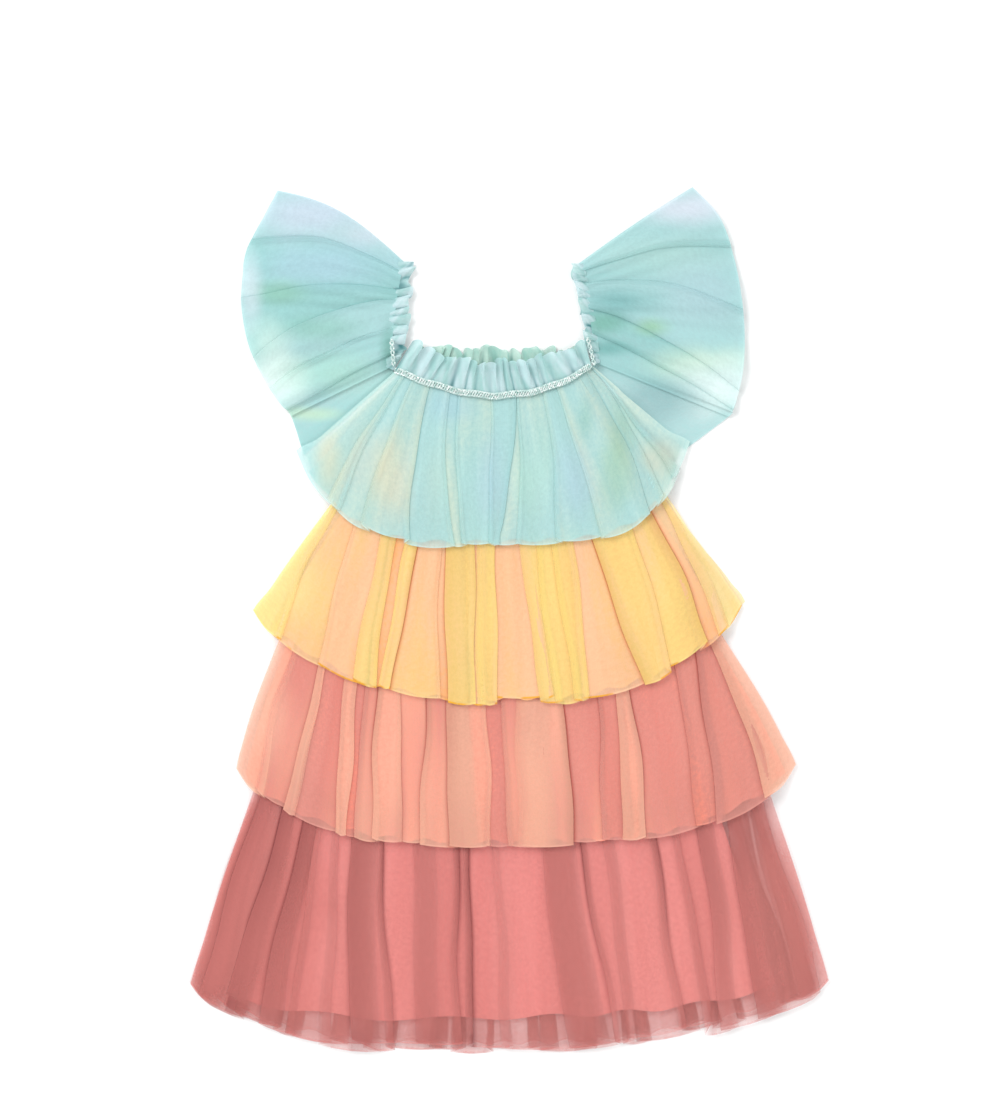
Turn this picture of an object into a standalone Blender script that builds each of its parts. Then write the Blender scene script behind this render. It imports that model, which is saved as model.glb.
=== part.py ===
"""A child's princess dress of gathered tulle, laid flat on its back.

Four tulle tiers hang one over the other on a plain lining. The top tier is gathered on an
elastic neck, with a frill standing above a narrow glitter trim, and a wide flutter sleeve is
gathered along each shoulder.

Frame: X to the viewer's right, +Y towards the neck, +Z up from the surface the dress lies on.
The origin is on that surface, at the middle of the dress. Sizes are in millimetres until a
mesh is made.
"""

import math
from collections import namedtuple

import bmesh
import bpy
from mathutils import Vector

MM = 0.001

# Cloth walls, and the gap that is kept between two cloths that touch
TULLE_WALL = 1.2
LINING_WALL = 1.0
TRIM_WALL = 1.2
SEAM_GAP = 0.4

# Heights of the layers over the surface, each at the middle of its cloth
BACK_LEVEL = TULLE_WALL / 2
LAP_RISE = TULLE_WALL + SEAM_GAP
LINING_BACK_LEVEL = BACK_LEVEL + LAP_RISE + TULLE_WALL / 2 + SEAM_GAP + LINING_WALL / 2
LINING_FRONT_LEVEL = LINING_BACK_LEVEL + LINING_WALL + SEAM_GAP
FRONT_LEVEL = LINING_FRONT_LEVEL + LINING_WALL / 2 + SEAM_GAP + TULLE_WALL / 2
SIDE_LEVEL = BACK_LEVEL + TULLE_WALL + SEAM_GAP

# How a front tier stands: its hem rises over the tier below, between two shares of its length,
# and its sides slope down to the back
HEM_RISE = 4.4
HEM_RISE_START = 0.35
HEM_RISE_END = 0.75
SIDE_SLOPE = 22.0
NECK_SIDE_SLOPE = 8.0
NECK_SLOPE_END = 0.25

# Its folds: their height at the gathers and on the frill, how far a crest reaches past the
# hem's line or the frill's, how uneven they are, and how much of their height the sides keep
SEAM_FOLD_HEIGHT = 0.9
FRILL_HEIGHT = 2.6
HEM_WAVE = 2.6
FRILL_WAVE = 1.6
FOLD_GROWTH = 1.3
FOLD_UNEVENNESS = 0.30
FOLD_STRENGTH = 0.72
FOLD_STRENGTH_CHANGE = 0.28
SIDE_FOLD_SHARE = 0.35

# How a back tier laps over the hem of the tier above it, and then comes down to the surface;
# the front's sides lie on the lap, and are down past these shares of the tier's length
LAP_FLAT = 7.0
LAP_SLOPE = 12.0
SIDE_DROP_START = 0.45
SIDE_DROP_END = 0.65

# The nets of the walls: shares of each piece's length, from its gathers at 0 to its hem at 1,
# with a frill's top edge at -1
COLUMNS_PER_FOLD = 4
FRONT_ROWS = (0.0, 0.2, 0.4, 0.6, 0.8, 1.0)
BACK_ROWS = (0.0, 0.12, 0.18, 0.24, 0.3, 0.36, 0.5, 0.75, 1.0)
NECK_BACK_ROWS = (-1.0, 0.0, 0.5, 1.0)
FRILL_ROWS = (-1.0, -0.5)
BACK_COLUMNS = 22
LINING_COLUMNS = 16
LINING_ROWS = 4
LINING_INSET = 14.0
SMOOTH_ANGLE = 50.0

Arc = namedtuple("Arc", "left right sag round_left round_right")
Tier = namedtuple("Tier", "number gather hem folds fold_height drift colour")
Sleeve = namedtuple("Sleeve", "side shoulder corner tuck strap_bow top_bulge frill_top frill_low folds")
Fold = namedtuple("Fold", "share x y height")

# An arc runs from its left end to its right end, sags at the middle, and its two ends are
# rounder the larger their numbers are
NECK_FRONT = Arc((-85.5, 186.5), (61.0, 190.0), 21.0, 1.6, 2.4)
NECK_BACK = Arc((-85.5, 187.5), (61.0, 190.0), 3.0, 2.0, 2.0)
FRILL_FRONT = Arc((-71.0, 207.0), (52.0, 206.0), 14.0, 2.0, 2.0)
FRILL_BACK = Arc((-71.0, 206.0), (52.0, 205.0), 2.0, 2.0, 2.0)
LINING_HEM = Arc((-198.0, -285.0), (199.0, -274.0), 18.0, 3.0, 3.0)

MINT = (0.58, 0.85, 0.83)
YELLOW = (0.97, 0.80, 0.46)
PEACH = (0.96, 0.64, 0.54)
ROSE = (0.80, 0.46, 0.44)
SATIN_PINK = (0.92, 0.57, 0.54)
SILVER_MINT = (0.80, 0.90, 0.88)

TIERS = (
    Tier(1, NECK_FRONT, Arc((-160.0, 122.0), (135.5, 129.0), 70.0, 3.8, 5.2), 17, 5.0, 0.9, MINT),
    Tier(2, Arc((-123.5, 101.0), (106.0, 104.0), 20.0, 2.4, 3.0),
         Arc((-192.5, 2.0), (174.5, 5.5), 67.0, 2.4, 3.0), 20, 5.5, 2.1, YELLOW),
    Tier(3, Arc((-165.5, 5.5), (146.5, 10.0), 47.0, 3.0, 3.0),
         Arc((-205.0, -116.5), (215.0, -113.5), 54.0, 3.4, 3.4), 22, 6.0, 3.7, PEACH),
    Tier(4, Arc((-184.0, -104.0), (187.0, -104.0), 40.0, 3.2, 3.2),
         Arc((-239.5, -278.0), (239.5, -275.5), 46.0, 3.4, 2.3), 24, 7.0, 5.2, ROSE),
)

# One row for each fold of a sleeve: its share of the way from the shoulder to the neck's
# corner, where it meets the hem, and how high it stands. The last row shows only at the back.
SLEEVES = (
    Sleeve("left", (-79.0, 268.0), (-88.5, 189.0), (2.5, -5.0), -2.0, 11.0, 9.5, 13.0, (
        Fold(0.00, -173.5, 321.5, 0.0),
        Fold(0.12, -183.0, 303.0, 3.0),
        Fold(0.24, -196.5, 277.0, 1.0),
        Fold(0.36, -199.5, 256.0, 4.5),
        Fold(0.50, -200.5, 234.0, 1.0),
        Fold(0.64, -194.5, 204.0, 5.0),
        Fold(0.78, -182.0, 177.0, 1.5),
        Fold(0.90, -170.5, 160.5, 4.0),
        Fold(1.00, -163.5, 152.0, 1.0),
        Fold(1.12, -154.0, 123.0, 1.0),
    )),
    Sleeve("right", (51.5, 266.5), (63.8, 192.5), (-3.0, -5.0), 2.0, 1.5, -7.0, -6.5, (
        Fold(0.00, 137.0, 324.0, 0.0),
        Fold(0.14, 157.0, 301.5, 2.5),
        Fold(0.28, 168.0, 271.5, 1.0),
        Fold(0.42, 173.5, 241.0, 5.0),
        Fold(0.56, 176.0, 211.5, 1.0),
        Fold(0.70, 174.5, 186.0, 4.5),
        Fold(0.84, 170.5, 166.5, 1.0),
        Fold(0.93, 167.0, 156.5, 3.5),
        Fold(1.00, 163.5, 151.5, 1.0),
        Fold(1.12, 131.5, 127.5, 1.0),
    )),
)
SLEEVE_TUCK_ROOM = 7.0
SLEEVE_BACK_STEPS = 11
SLEEVE_BEND_STEPS = 4
SLEEVE_FRONT_STEPS = 44
SLEEVE_BEND_RADIUS = 1.1

# The frill along a strap: its small ruffles, where it starts to narrow and what is left of it
# at the neck's corner, and how much of a sleeve fold's height the strap and the frill keep
STRAP_RUFFLES = 7.0
STRAP_RUFFLE_DEPTH = 0.12
STRAP_FRILL_TURN = 0.76
STRAP_FRILL_END = 0.1
STRAP_FOLD_SHARE = 0.25
FRILL_FOLD_SHARE = 0.6
SLEEVE_ROWS = (-1.0, -0.5, 0.0, 0.2, 0.4, 0.6, 0.8, 1.0)

TRIM_WIDTH = 5.5


def clear_scene():
    """Start from an empty scene."""
    for item in list(bpy.data.objects):
        bpy.data.objects.remove(item, do_unlink=True)


def smooth(share):
    """Go from 0 to 1 with soft ends."""
    share = min(max(share, 0.0), 1.0)
    return share * share * (3.0 - 2.0 * share)


def ramp(value, start, end):
    """Go softly from 0 at one value to 1 at another."""
    return smooth((value - start) / (end - start))


def mix(start, end, share):
    """Lie between two numbers."""
    return start + (end - start) * share


def arc_point(arc, u):
    """Give the point of an arc at the share u of its width."""
    x = mix(arc.left[0], arc.right[0], u)
    straight = mix(arc.left[1], arc.right[1], u)
    roundness = arc.round_left if u < 0.5 else arc.round_right
    return x, straight - arc.sag * (1.0 - abs(2.0 * u - 1.0) ** roundness)


def arc_y(arc, x):
    """Give the height in Y of an arc over a place in X."""
    share = (x - arc.left[0]) / (arc.right[0] - arc.left[0])
    return arc_point(arc, min(max(share, 0.0), 1.0))[1]


def grid_normal(grid, i, j):
    """Give the cloth's own normal at one crossing of its net."""
    rows, columns = len(grid), len(grid[0])
    along = grid[i][min(j + 1, columns - 1)] - grid[i][max(j - 1, 0)]
    across = grid[min(i + 1, rows - 1)][j] - grid[max(i - 1, 0)][j]
    return along.cross(across).normalized()


def add_wall(name, grid, thickness, colour, roughness=0.8, metallic=0.0):
    """Make a closed cloth wall with a net of points at the middle of its thickness."""
    rows, columns = len(grid), len(grid[0])
    wall = bmesh.new()
    sides = []
    for direction in (1.0, -1.0):
        step = direction * thickness / 2.0
        sides.append([
            [wall.verts.new((grid[i][j] + step * grid_normal(grid, i, j)) * MM)
             for j in range(columns)]
            for i in range(rows)
        ])
    for i in range(rows - 1):
        for j in range(columns - 1):
            for side in sides:
                wall.faces.new((side[i][j], side[i][j + 1], side[i + 1][j + 1], side[i + 1][j]))
    rim = [(0, j) for j in range(columns)]
    rim += [(i, columns - 1) for i in range(1, rows)]
    rim += [(rows - 1, j) for j in range(columns - 2, -1, -1)]
    rim += [(i, 0) for i in range(rows - 2, 0, -1)]
    top, bottom = sides
    for (i, j), (k, m) in zip(rim, rim[1:] + rim[:1]):
        wall.faces.new((top[i][j], top[k][m], bottom[k][m], bottom[i][j]))
    bmesh.ops.recalc_face_normals(wall, faces=wall.faces)
    bmesh.ops.triangulate(wall, faces=wall.faces)
    mesh = bpy.data.meshes.new(name)
    wall.to_mesh(mesh)
    wall.free()
    mesh.shade_smooth()
    mesh.set_sharp_from_angle(angle=math.radians(SMOOTH_ANGLE))
    mesh.materials.append(cloth_material(name, colour, roughness, metallic))
    piece = bpy.data.objects.new(name, mesh)
    bpy.context.scene.collection.objects.link(piece)
    return piece


def cloth_material(name, colour, roughness, metallic):
    """Make the piece's own plain material."""
    material = bpy.data.materials.new(name + "_cloth")
    material.use_nodes = True
    shader = material.node_tree.nodes["Principled BSDF"]
    linear = [channel ** 2.2 for channel in colour]
    shader.inputs["Base Color"].default_value = (*linear, 1.0)
    shader.inputs["Roughness"].default_value = roughness
    shader.inputs["Metallic"].default_value = metallic
    return material


def fold_place(tier, share):
    """Give the place across the panel of a share of its folds, which are uneven in width."""
    unevenness = FOLD_UNEVENNESS / tier.folds
    waviness = math.sin(2.0 * math.pi * 3.0 * share + tier.drift)
    waviness += 0.8 * math.sin(2.0 * math.pi * 7.0 * share + 2.0 * tier.drift)
    end_taper = math.sin(math.pi * share)
    return share + unevenness * waviness * end_taper


def fold_wave(tier, share):
    """Give how far the cloth stands up in its fold, from 0 in a hollow to 1 on a crest."""
    fold = math.floor(share * tier.folds)
    strength = FOLD_STRENGTH + FOLD_STRENGTH_CHANGE * math.sin(2.4 * fold + tier.drift)
    return strength * (0.5 - 0.5 * math.cos(2.0 * math.pi * share * tier.folds))


def side_slope(tier, v):
    """Give how far in from its sides a front tier comes up to its full level."""
    if tier.number > 1:
        return SIDE_SLOPE
    return mix(NECK_SIDE_SLOPE, SIDE_SLOPE, smooth(v / NECK_SLOPE_END))


def front_level(tier, v, from_side):
    """Give the level of a front tier's cloth, before its folds."""
    level = FRONT_LEVEL
    if tier.number < len(TIERS):
        level += HEM_RISE * ramp(v, HEM_RISE_START, HEM_RISE_END)
    side = SIDE_LEVEL
    if tier.number > 1:
        side += LAP_RISE * (1.0 - ramp(v, SIDE_DROP_START, SIDE_DROP_END))
    return mix(side, level, smooth(from_side / side_slope(tier, v)))


def side_distance(top, end, v, x):
    """Give how far a place in X is from the nearer side of a panel between two arcs."""
    left = mix(top.left[0], end.left[0], v)
    right = mix(top.right[0], end.right[0], v)
    return min(x - left, right - x)


def front_point(tier, share, v):
    """Give a point of a front tier: v is 0 at its gathers, 1 at its hem, -1 on the frill."""
    u = fold_place(tier, share)
    wave = fold_wave(tier, share)
    end = tier.hem if v >= 0.0 else FRILL_FRONT
    down = abs(v)
    top_x, top_y = arc_point(tier.gather, u)
    end_x, end_y = arc_point(end, u)
    x = mix(top_x, end_x, down)
    from_side = side_distance(tier.gather, end, down, x)
    if v < 0.0:
        y = mix(top_y, end_y, down) + FRILL_WAVE * down * (wave - 0.5)
        height = mix(SEAM_FOLD_HEIGHT, FRILL_HEIGHT, down)
        return Vector((x, y, front_level(tier, 0.0, from_side) + height * wave))
    y = mix(top_y, end_y, down) - HEM_WAVE * down * (wave - 0.5)
    height = mix(SEAM_FOLD_HEIGHT, tier.fold_height, down ** FOLD_GROWTH)
    height *= mix(SIDE_FOLD_SHARE, 1.0, smooth(from_side / SIDE_SLOPE))
    return Vector((x, y, front_level(tier, v, from_side) + height * wave))


def add_front_tier(tier):
    """Make a front tier with its folds standing, and on the first its frill over the neck."""
    rows = FRONT_ROWS
    if tier.number == 1:
        rows = FRILL_ROWS + FRONT_ROWS
    columns = tier.folds * COLUMNS_PER_FOLD
    grid = [
        [front_point(tier, j / columns, v) for j in range(columns + 1)]
        for v in rows
    ]
    add_wall(f"tier_{tier.number}_front", grid, TULLE_WALL, tier.colour)


def back_point(tier, above, u, v):
    """Give a point of a back tier, at the share u across it and v down it."""
    gather = NECK_BACK if tier.number == 1 else tier.gather
    end = FRILL_BACK if v < 0.0 else tier.hem
    inset = SLEEVE_TUCK_ROOM if tier.number == 1 else 0.0
    top_x, top_y = arc_point(gather, u)
    end_x, end_y = arc_point(end, u)
    x = mix(top_x, end_x, abs(v)) + inset * (1.0 - 2.0 * u)
    y = mix(top_y, end_y, abs(v))
    lap = 0.0
    if above is not None:
        past_hem = arc_y(above.hem, x) - y
        lap = 1.0 - ramp(past_hem, LAP_FLAT, LAP_FLAT + LAP_SLOPE)
    return Vector((x, y, BACK_LEVEL + LAP_RISE * lap))


def add_back_tier(tier, above):
    """Make a back tier: flat on the surface, its top lapped over the hem of the tier above."""
    rows = NECK_BACK_ROWS if tier.number == 1 else BACK_ROWS
    grid = [
        [back_point(tier, above, j / BACK_COLUMNS, v) for j in range(BACK_COLUMNS + 1)]
        for v in rows
    ]
    add_wall(f"tier_{tier.number}_back", grid, TULLE_WALL, tier.colour)


def add_lining(name, neck, level):
    """Make one panel of the plain lining, from the neck to just over the last hem."""
    grid = []
    for i in range(LINING_ROWS + 1):
        v = i / LINING_ROWS
        line = []
        for j in range(LINING_COLUMNS + 1):
            u = j / LINING_COLUMNS
            top_x, top_y = arc_point(neck, u)
            hem_x, hem_y = arc_point(LINING_HEM, u)
            inset = LINING_INSET * (1.0 - 2.0 * u) * (1.0 - v)
            line.append(Vector((mix(top_x, hem_x, v) + inset, mix(top_y, hem_y, v), level)))
        grid.append(line)
    add_wall(name, grid, LINING_WALL, SATIN_PINK, roughness=0.45)


def sleeve_fold(sleeve, share):
    """Give the hem point and the height of a sleeve at a share, on a soft line through its folds."""
    rows = sleeve.folds
    index = 0
    while index < len(rows) - 2 and share > rows[index + 1].share:
        index += 1
    start, end = rows[index], rows[index + 1]
    before = rows[max(index - 1, 0)]
    after = rows[min(index + 2, len(rows) - 1)]
    t = (share - start.share) / (end.share - start.share)
    x = spline(before.x, start.x, end.x, after.x, t)
    y = spline(before.y, start.y, end.y, after.y, t)
    return x, y, mix(start.height, end.height, smooth(t))


def spline(before, start, end, after, t):
    """Give a number on the soft curve through four numbers, between the middle two."""
    slope_start = (end - before) / 2.0
    slope_end = (after - start) / 2.0
    t2, t3 = t * t, t * t * t
    value = (2 * t3 - 3 * t2 + 1) * start + (t3 - 2 * t2 + t) * slope_start
    return value + (-2 * t3 + 3 * t2) * end + (t3 - t2) * slope_end


def sleeve_frill_width(sleeve, along):
    """Give how far the frill of a sleeve stands in past its strap, signed in X."""
    ruffle = 1.0 + STRAP_RUFFLE_DEPTH * math.cos(2.0 * math.pi * STRAP_RUFFLES * along)
    if along < STRAP_FRILL_TURN:
        return mix(sleeve.frill_top, sleeve.frill_low, along / STRAP_FRILL_TURN) * ruffle
    left = (1.0 - along) / (1.0 - STRAP_FRILL_TURN)
    return sleeve.frill_low * mix(STRAP_FRILL_END, 1.0, left)


def strap_point(sleeve, share):
    """Give the place of the strap at a share; past the neck's corner it tucks under the tier."""
    along = min(share, 1.0)
    tucked = max(0.0, share - 1.0) / (sleeve.folds[-1].share - 1.0)
    x = mix(sleeve.shoulder[0], sleeve.corner[0], along) + tucked * sleeve.tuck[0]
    y = mix(sleeve.shoulder[1], sleeve.corner[1], along) + tucked * sleeve.tuck[1]
    return x + sleeve.strap_bow * math.sin(math.pi * along), y


def sleeve_point(sleeve, share, v, level, lift):
    """Give a point of a sleeve's leaf: v is 0 on the strap, 1 at the hem, -1 on the frill."""
    along = min(share, 1.0)
    strap_x, strap_y = strap_point(sleeve, share)
    hem_x, hem_y, height = sleeve_fold(sleeve, share)
    if v < 0.0:
        x = strap_x - v * sleeve_frill_width(sleeve, along)
        rise = mix(STRAP_FOLD_SHARE, FRILL_FOLD_SHARE, -v)
        return Vector((x, strap_y, level + lift * rise * height))
    bulge = sleeve.top_bulge * math.sin(math.pi * v) * max(0.0, 1.0 - 2.2 * along)
    rise = mix(STRAP_FOLD_SHARE, 1.0, math.sin(0.6 * math.pi * v))
    x = mix(strap_x, hem_x, v)
    y = mix(strap_y, hem_y, v) + bulge
    return Vector((x, y, level + lift * rise * height))


def sleeve_columns(sleeve):
    """List a sleeve's columns: share, level, how much of its folds show, and push past its edge.

    They go over the back leaf to the shoulder, round the fold there, and over the front leaf.
    """
    front = BACK_LEVEL + 2.0 * SLEEVE_BEND_RADIUS
    last_share = sleeve.folds[-1].share
    columns = []
    for step in range(SLEEVE_BACK_STEPS + 1):
        share = last_share * (1.0 - step / SLEEVE_BACK_STEPS)
        columns.append((share, BACK_LEVEL, 0.0, 0.0))
    for step in range(1, SLEEVE_BEND_STEPS):
        turn = math.pi * step / SLEEVE_BEND_STEPS
        level = BACK_LEVEL + SLEEVE_BEND_RADIUS * (1.0 - math.cos(turn))
        columns.append((0.0, level, 0.0, SLEEVE_BEND_RADIUS * math.sin(turn)))
    for step in range(SLEEVE_FRONT_STEPS + 1):
        columns.append((step / SLEEVE_FRONT_STEPS, front, 1.0, 0.0))
    return columns


def add_sleeve(sleeve):
    """Make a flutter sleeve: one cloth folded over at the shoulder, with a flat back leaf."""
    tip = sleeve.folds[0]
    edge = Vector((tip.x - sleeve.shoulder[0], tip.y - sleeve.shoulder[1], 0.0)).normalized()
    outward = Vector((-edge.y, edge.x, 0.0))
    if outward.y < 0.0:
        outward.negate()
    columns = sleeve_columns(sleeve)
    grid = [
        [
            sleeve_point(sleeve, share, v, level, lift) + push * outward
            for share, level, lift, push in columns
        ]
        for v in SLEEVE_ROWS
    ]
    add_wall(f"sleeve_{sleeve.side}", grid, TULLE_WALL, MINT)


def add_neck_trim():
    """Make the glitter trim, laid on the gathers of the first tier from that cloth's own points."""
    tier = TIERS[0]
    columns = tier.folds * COLUMNS_PER_FOLD
    over_cloth = SEAM_FOLD_HEIGHT + TULLE_WALL / 2.0 + 2.0 * SEAM_GAP + TRIM_WALL / 2.0
    grid = []
    for across in (TRIM_WIDTH / 2.0, 0.0, -TRIM_WIDTH / 2.0):
        line = []
        for j in range(columns + 1):
            point = front_point(tier, j / columns, 0.0)
            from_side = side_distance(tier.gather, tier.gather, 0.0, point.x)
            level = front_level(tier, 0.0, from_side) + over_cloth
            line.append(Vector((point.x, point.y + across, level)))
        grid.append(line)
    add_wall("neck_trim", grid, TRIM_WALL, SILVER_MINT, roughness=0.3, metallic=0.5)


def main():
    clear_scene()
    add_lining("lining_back", NECK_BACK, LINING_BACK_LEVEL)
    add_lining("lining_front", NECK_FRONT, LINING_FRONT_LEVEL)
    above = None
    for tier in TIERS:
        add_back_tier(tier, above)
        add_front_tier(tier)
        above = tier
    for sleeve in SLEEVES:
        add_sleeve(sleeve)
    add_neck_trim()


main()
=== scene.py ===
# %% [markdown]
# # A princess dress of gathered tulle, laid flat
# This lesson dresses the plain solids of a child's party dress in cloth. The real dress is four
# tiers of soft net over a satin lining, with a gathered neck, a glitter trim and two flutter
# sleeves. We work in millimetres, X to the viewer's right, Y towards the neck and Z up, with the
# dress on its back. The first cell opens the frame that holds the solids.

import math
from collections import namedtuple

import bpy
import numpy as np
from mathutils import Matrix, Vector


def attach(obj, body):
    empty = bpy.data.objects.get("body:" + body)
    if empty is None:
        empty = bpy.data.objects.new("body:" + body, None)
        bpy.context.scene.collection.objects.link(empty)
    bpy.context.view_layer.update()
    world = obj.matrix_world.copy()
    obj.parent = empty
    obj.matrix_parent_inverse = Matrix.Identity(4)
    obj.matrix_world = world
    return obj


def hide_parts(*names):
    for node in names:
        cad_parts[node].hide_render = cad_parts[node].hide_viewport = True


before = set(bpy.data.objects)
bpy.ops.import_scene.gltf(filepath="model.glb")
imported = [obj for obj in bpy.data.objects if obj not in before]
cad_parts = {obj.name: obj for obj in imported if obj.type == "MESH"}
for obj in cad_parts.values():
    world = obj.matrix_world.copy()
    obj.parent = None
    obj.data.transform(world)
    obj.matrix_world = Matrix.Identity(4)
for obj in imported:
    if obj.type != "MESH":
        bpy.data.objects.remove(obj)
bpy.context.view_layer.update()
MM = 0.001

# %% [markdown]
# ## The lines the dress is sewn on
# Gathers and hems are shallow arcs: straight between two ends, sagging at the middle. The same
# arcs shape the solids, so cloth that follows them stays on its solid. A larger roundness makes
# the arc's ends turn later and harder. A place on an arc is a share of its width, from 0 to 1.

# %% Arcs, and soft steps between two numbers
Arc = namedtuple("Arc", "left right sag round_left round_right")

NECK_FRONT = Arc((-85.5, 186.5), (61.0, 190.0), 21.0, 1.6, 2.4)
NECK_BACK = Arc((-85.5, 187.5), (61.0, 190.0), 3.0, 2.0, 2.0)
LINING_HEM = Arc((-198.0, -285.0), (199.0, -274.0), 18.0, 3.0, 3.0)


def smooth(share):
    """Go from 0 to 1 with soft ends."""
    share = min(max(share, 0.0), 1.0)
    return share * share * (3.0 - 2.0 * share)


def ramp(value, start, end):
    """Go softly from 0 at one value to 1 at another."""
    return smooth((value - start) / (end - start))


def mix(start, end, share):
    """Lie between two numbers."""
    return start + (end - start) * share


def shares(count):
    """List the shares from 0 to 1 in a number of equal steps."""
    return [k / count for k in range(count + 1)]


def arc_width(arc):
    """Give the width of an arc in X."""
    return arc.right[0] - arc.left[0]


def arc_point(arc, u):
    """Give the point of an arc at the share u of its width."""
    x = mix(arc.left[0], arc.right[0], u)
    straight = mix(arc.left[1], arc.right[1], u)
    roundness = arc.round_left if u < 0.5 else arc.round_right
    return x, straight - arc.sag * (1.0 - min(abs(2.0 * u - 1.0), 1.0) ** roundness)


def arc_share(arc, x):
    """Give the share of an arc's width at a place in X."""
    return (x - arc.left[0]) / arc_width(arc)


def arc_y(arc, x):
    """Give the height in Y of an arc over a place in X."""
    return arc_point(arc, min(max(arc_share(arc, x), 0.0), 1.0))[1]


print("the neck is", round(arc_width(NECK_FRONT), 1), "mm wide")

# %% [markdown]
# ## How gathered net falls
# Net that is gathered into a seam falls in flat pleats: the cloth runs on, turns back under
# itself, and runs on again. Where it lies three times over it looks dense, and beside that it is
# one layer and lets the colour below through. So a tier is drawn from a table of bands, the
# places where it lies three times over. Each has its left side and its width at the gathers and
# at the hem, and the side on which its fold lies on top. Three more numbers tell how deep the dye
# is on the run of cloth before it, how many millimetres shorter that run hangs, and how strongly
# the fold shades the cloth beside it: a fold stands open most near the gathers, and there the net
# beside it lies in a narrow shadow. That shadow is painted, as a darker crease shade mixed into
# the net's colour. Such a fold is crisp. A fold with little shade is really a bunch of small
# gathers, so its layers thin out towards their edge and the band has a soft side. The painted
# shade is full at the open side of a fold, less where it turns and inside it, and least beside
# its closed side. One function turns such a table into the stops of the cloth's path.

# %% Bands and their folds
Band = namedtuple(
    "Band", "top hem top_width hem_width over tone short slit", defaults=(0.5, 0.0, 0.4))
Stop = namedtuple("Stop", "u height run t tone short crease fade")

TURN = 0.5
COLUMN_WIDTH = 3.0
SHADE_WIDTH = 3.6
FADE_WIDTH = 8.0
SEEN_FADE = 0.95
HIDDEN_FADE = 0.85
EDGE_FADE = 0.6
MARK_GAP = 0.3
WIDENING = 1.15
SLIT_POWER = 2.2
BESIDE, INSIDE, TURNED = 0.15, 0.3, 0.5


def band_sides(band, v, shift):
    """Give the left and right side of a band at the share v of the way to the hem."""
    left = mix(band.top, band.hem, v) + shift
    width = mix(band.top_width, band.hem_width, v ** WIDENING)
    return left, left + width


def wander(number, v, drift):
    """Let a fold stray a little between gathers and hem, so that no two run alike."""
    turn = math.sin(2.1 * number + drift + 4.0 * v) + 0.6 * math.sin(5.3 * number + 9.0 * v)
    return turn * math.sin(math.pi * min(max(v, 0.0), 1.0))


def fold_fades(band):
    """Give how far the layers thin out at a band's left and right; the hidden side is softer."""
    seen = SEEN_FADE * (1.0 - smooth(band.slit))
    hidden = max(seen, HIDDEN_FADE)
    return (hidden, seen) if band.over == "right" else (seen, hidden)


def run_counts(bands, hem_width):
    """Give each part of each run as many columns as its length at the hem asks for."""
    counts = []
    start, before = 0.0, 0.0
    for band in list(bands) + [Band(1.0, 1.0, 0.0, 0.0, "left")]:
        open_part = max(2, round((band.hem - before) * hem_width / COLUMN_WIDTH))
        hidden = max(1, round((before - start) * hem_width / COLUMN_WIDTH / 2.0))
        ending = max(1, round(band.hem_width * hem_width / COLUMN_WIDTH / 2.0))
        counts.append((hidden, 2, open_part, 2, ending))
        start, before = band.hem, band.hem + band.hem_width
    return counts


print("a fold turns within", TURN, "mm and shades", SHADE_WIDTH, "mm of net beside it")


# %% The path of a cloth across its panel
def run_marks(start, end, before, after, shade, turn):
    """Mark where a run starts, comes out of the shade of one fold, goes into the next, and ends."""
    marks = [start + turn, before, before + shade, after - shade, after, end - turn]
    for k in range(1, len(marks)):
        marks[k] = max(marks[k], marks[k - 1] + MARK_GAP * turn)
    for k in range(len(marks) - 2, -1, -1):
        marks[k] = min(marks[k], marks[k + 1] - MARK_GAP * turn)
    return marks


def add_run(path, marks, counts, heights, crease_shades, fades, run, cloth):
    """Add one run of cloth between two folds, with a column on each of its marks."""
    start, end = marks[0], marks[-1]
    (fade_in, reach_in), (fade_out, reach_out) = fades
    for part, count in enumerate(counts):
        for k in range(count):
            share = k / count
            u = mix(marks[part], marks[part + 1], share)
            t = (u - start) / (end - start)
            crease = mix(crease_shades[part], crease_shades[part + 1], share)
            fade = fade_in * max(0.0, 1.0 - (u - start) / reach_in)
            fade += fade_out * max(0.0, 1.0 - (end - u) / reach_out)
            path.append(Stop(u, mix(*heights, smooth(t)), run, t, *cloth, crease, min(fade, 1.0)))
    path.append(Stop(end, heights[1], run, 1.0, *cloth, crease_shades[-1], fade_out))


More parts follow.
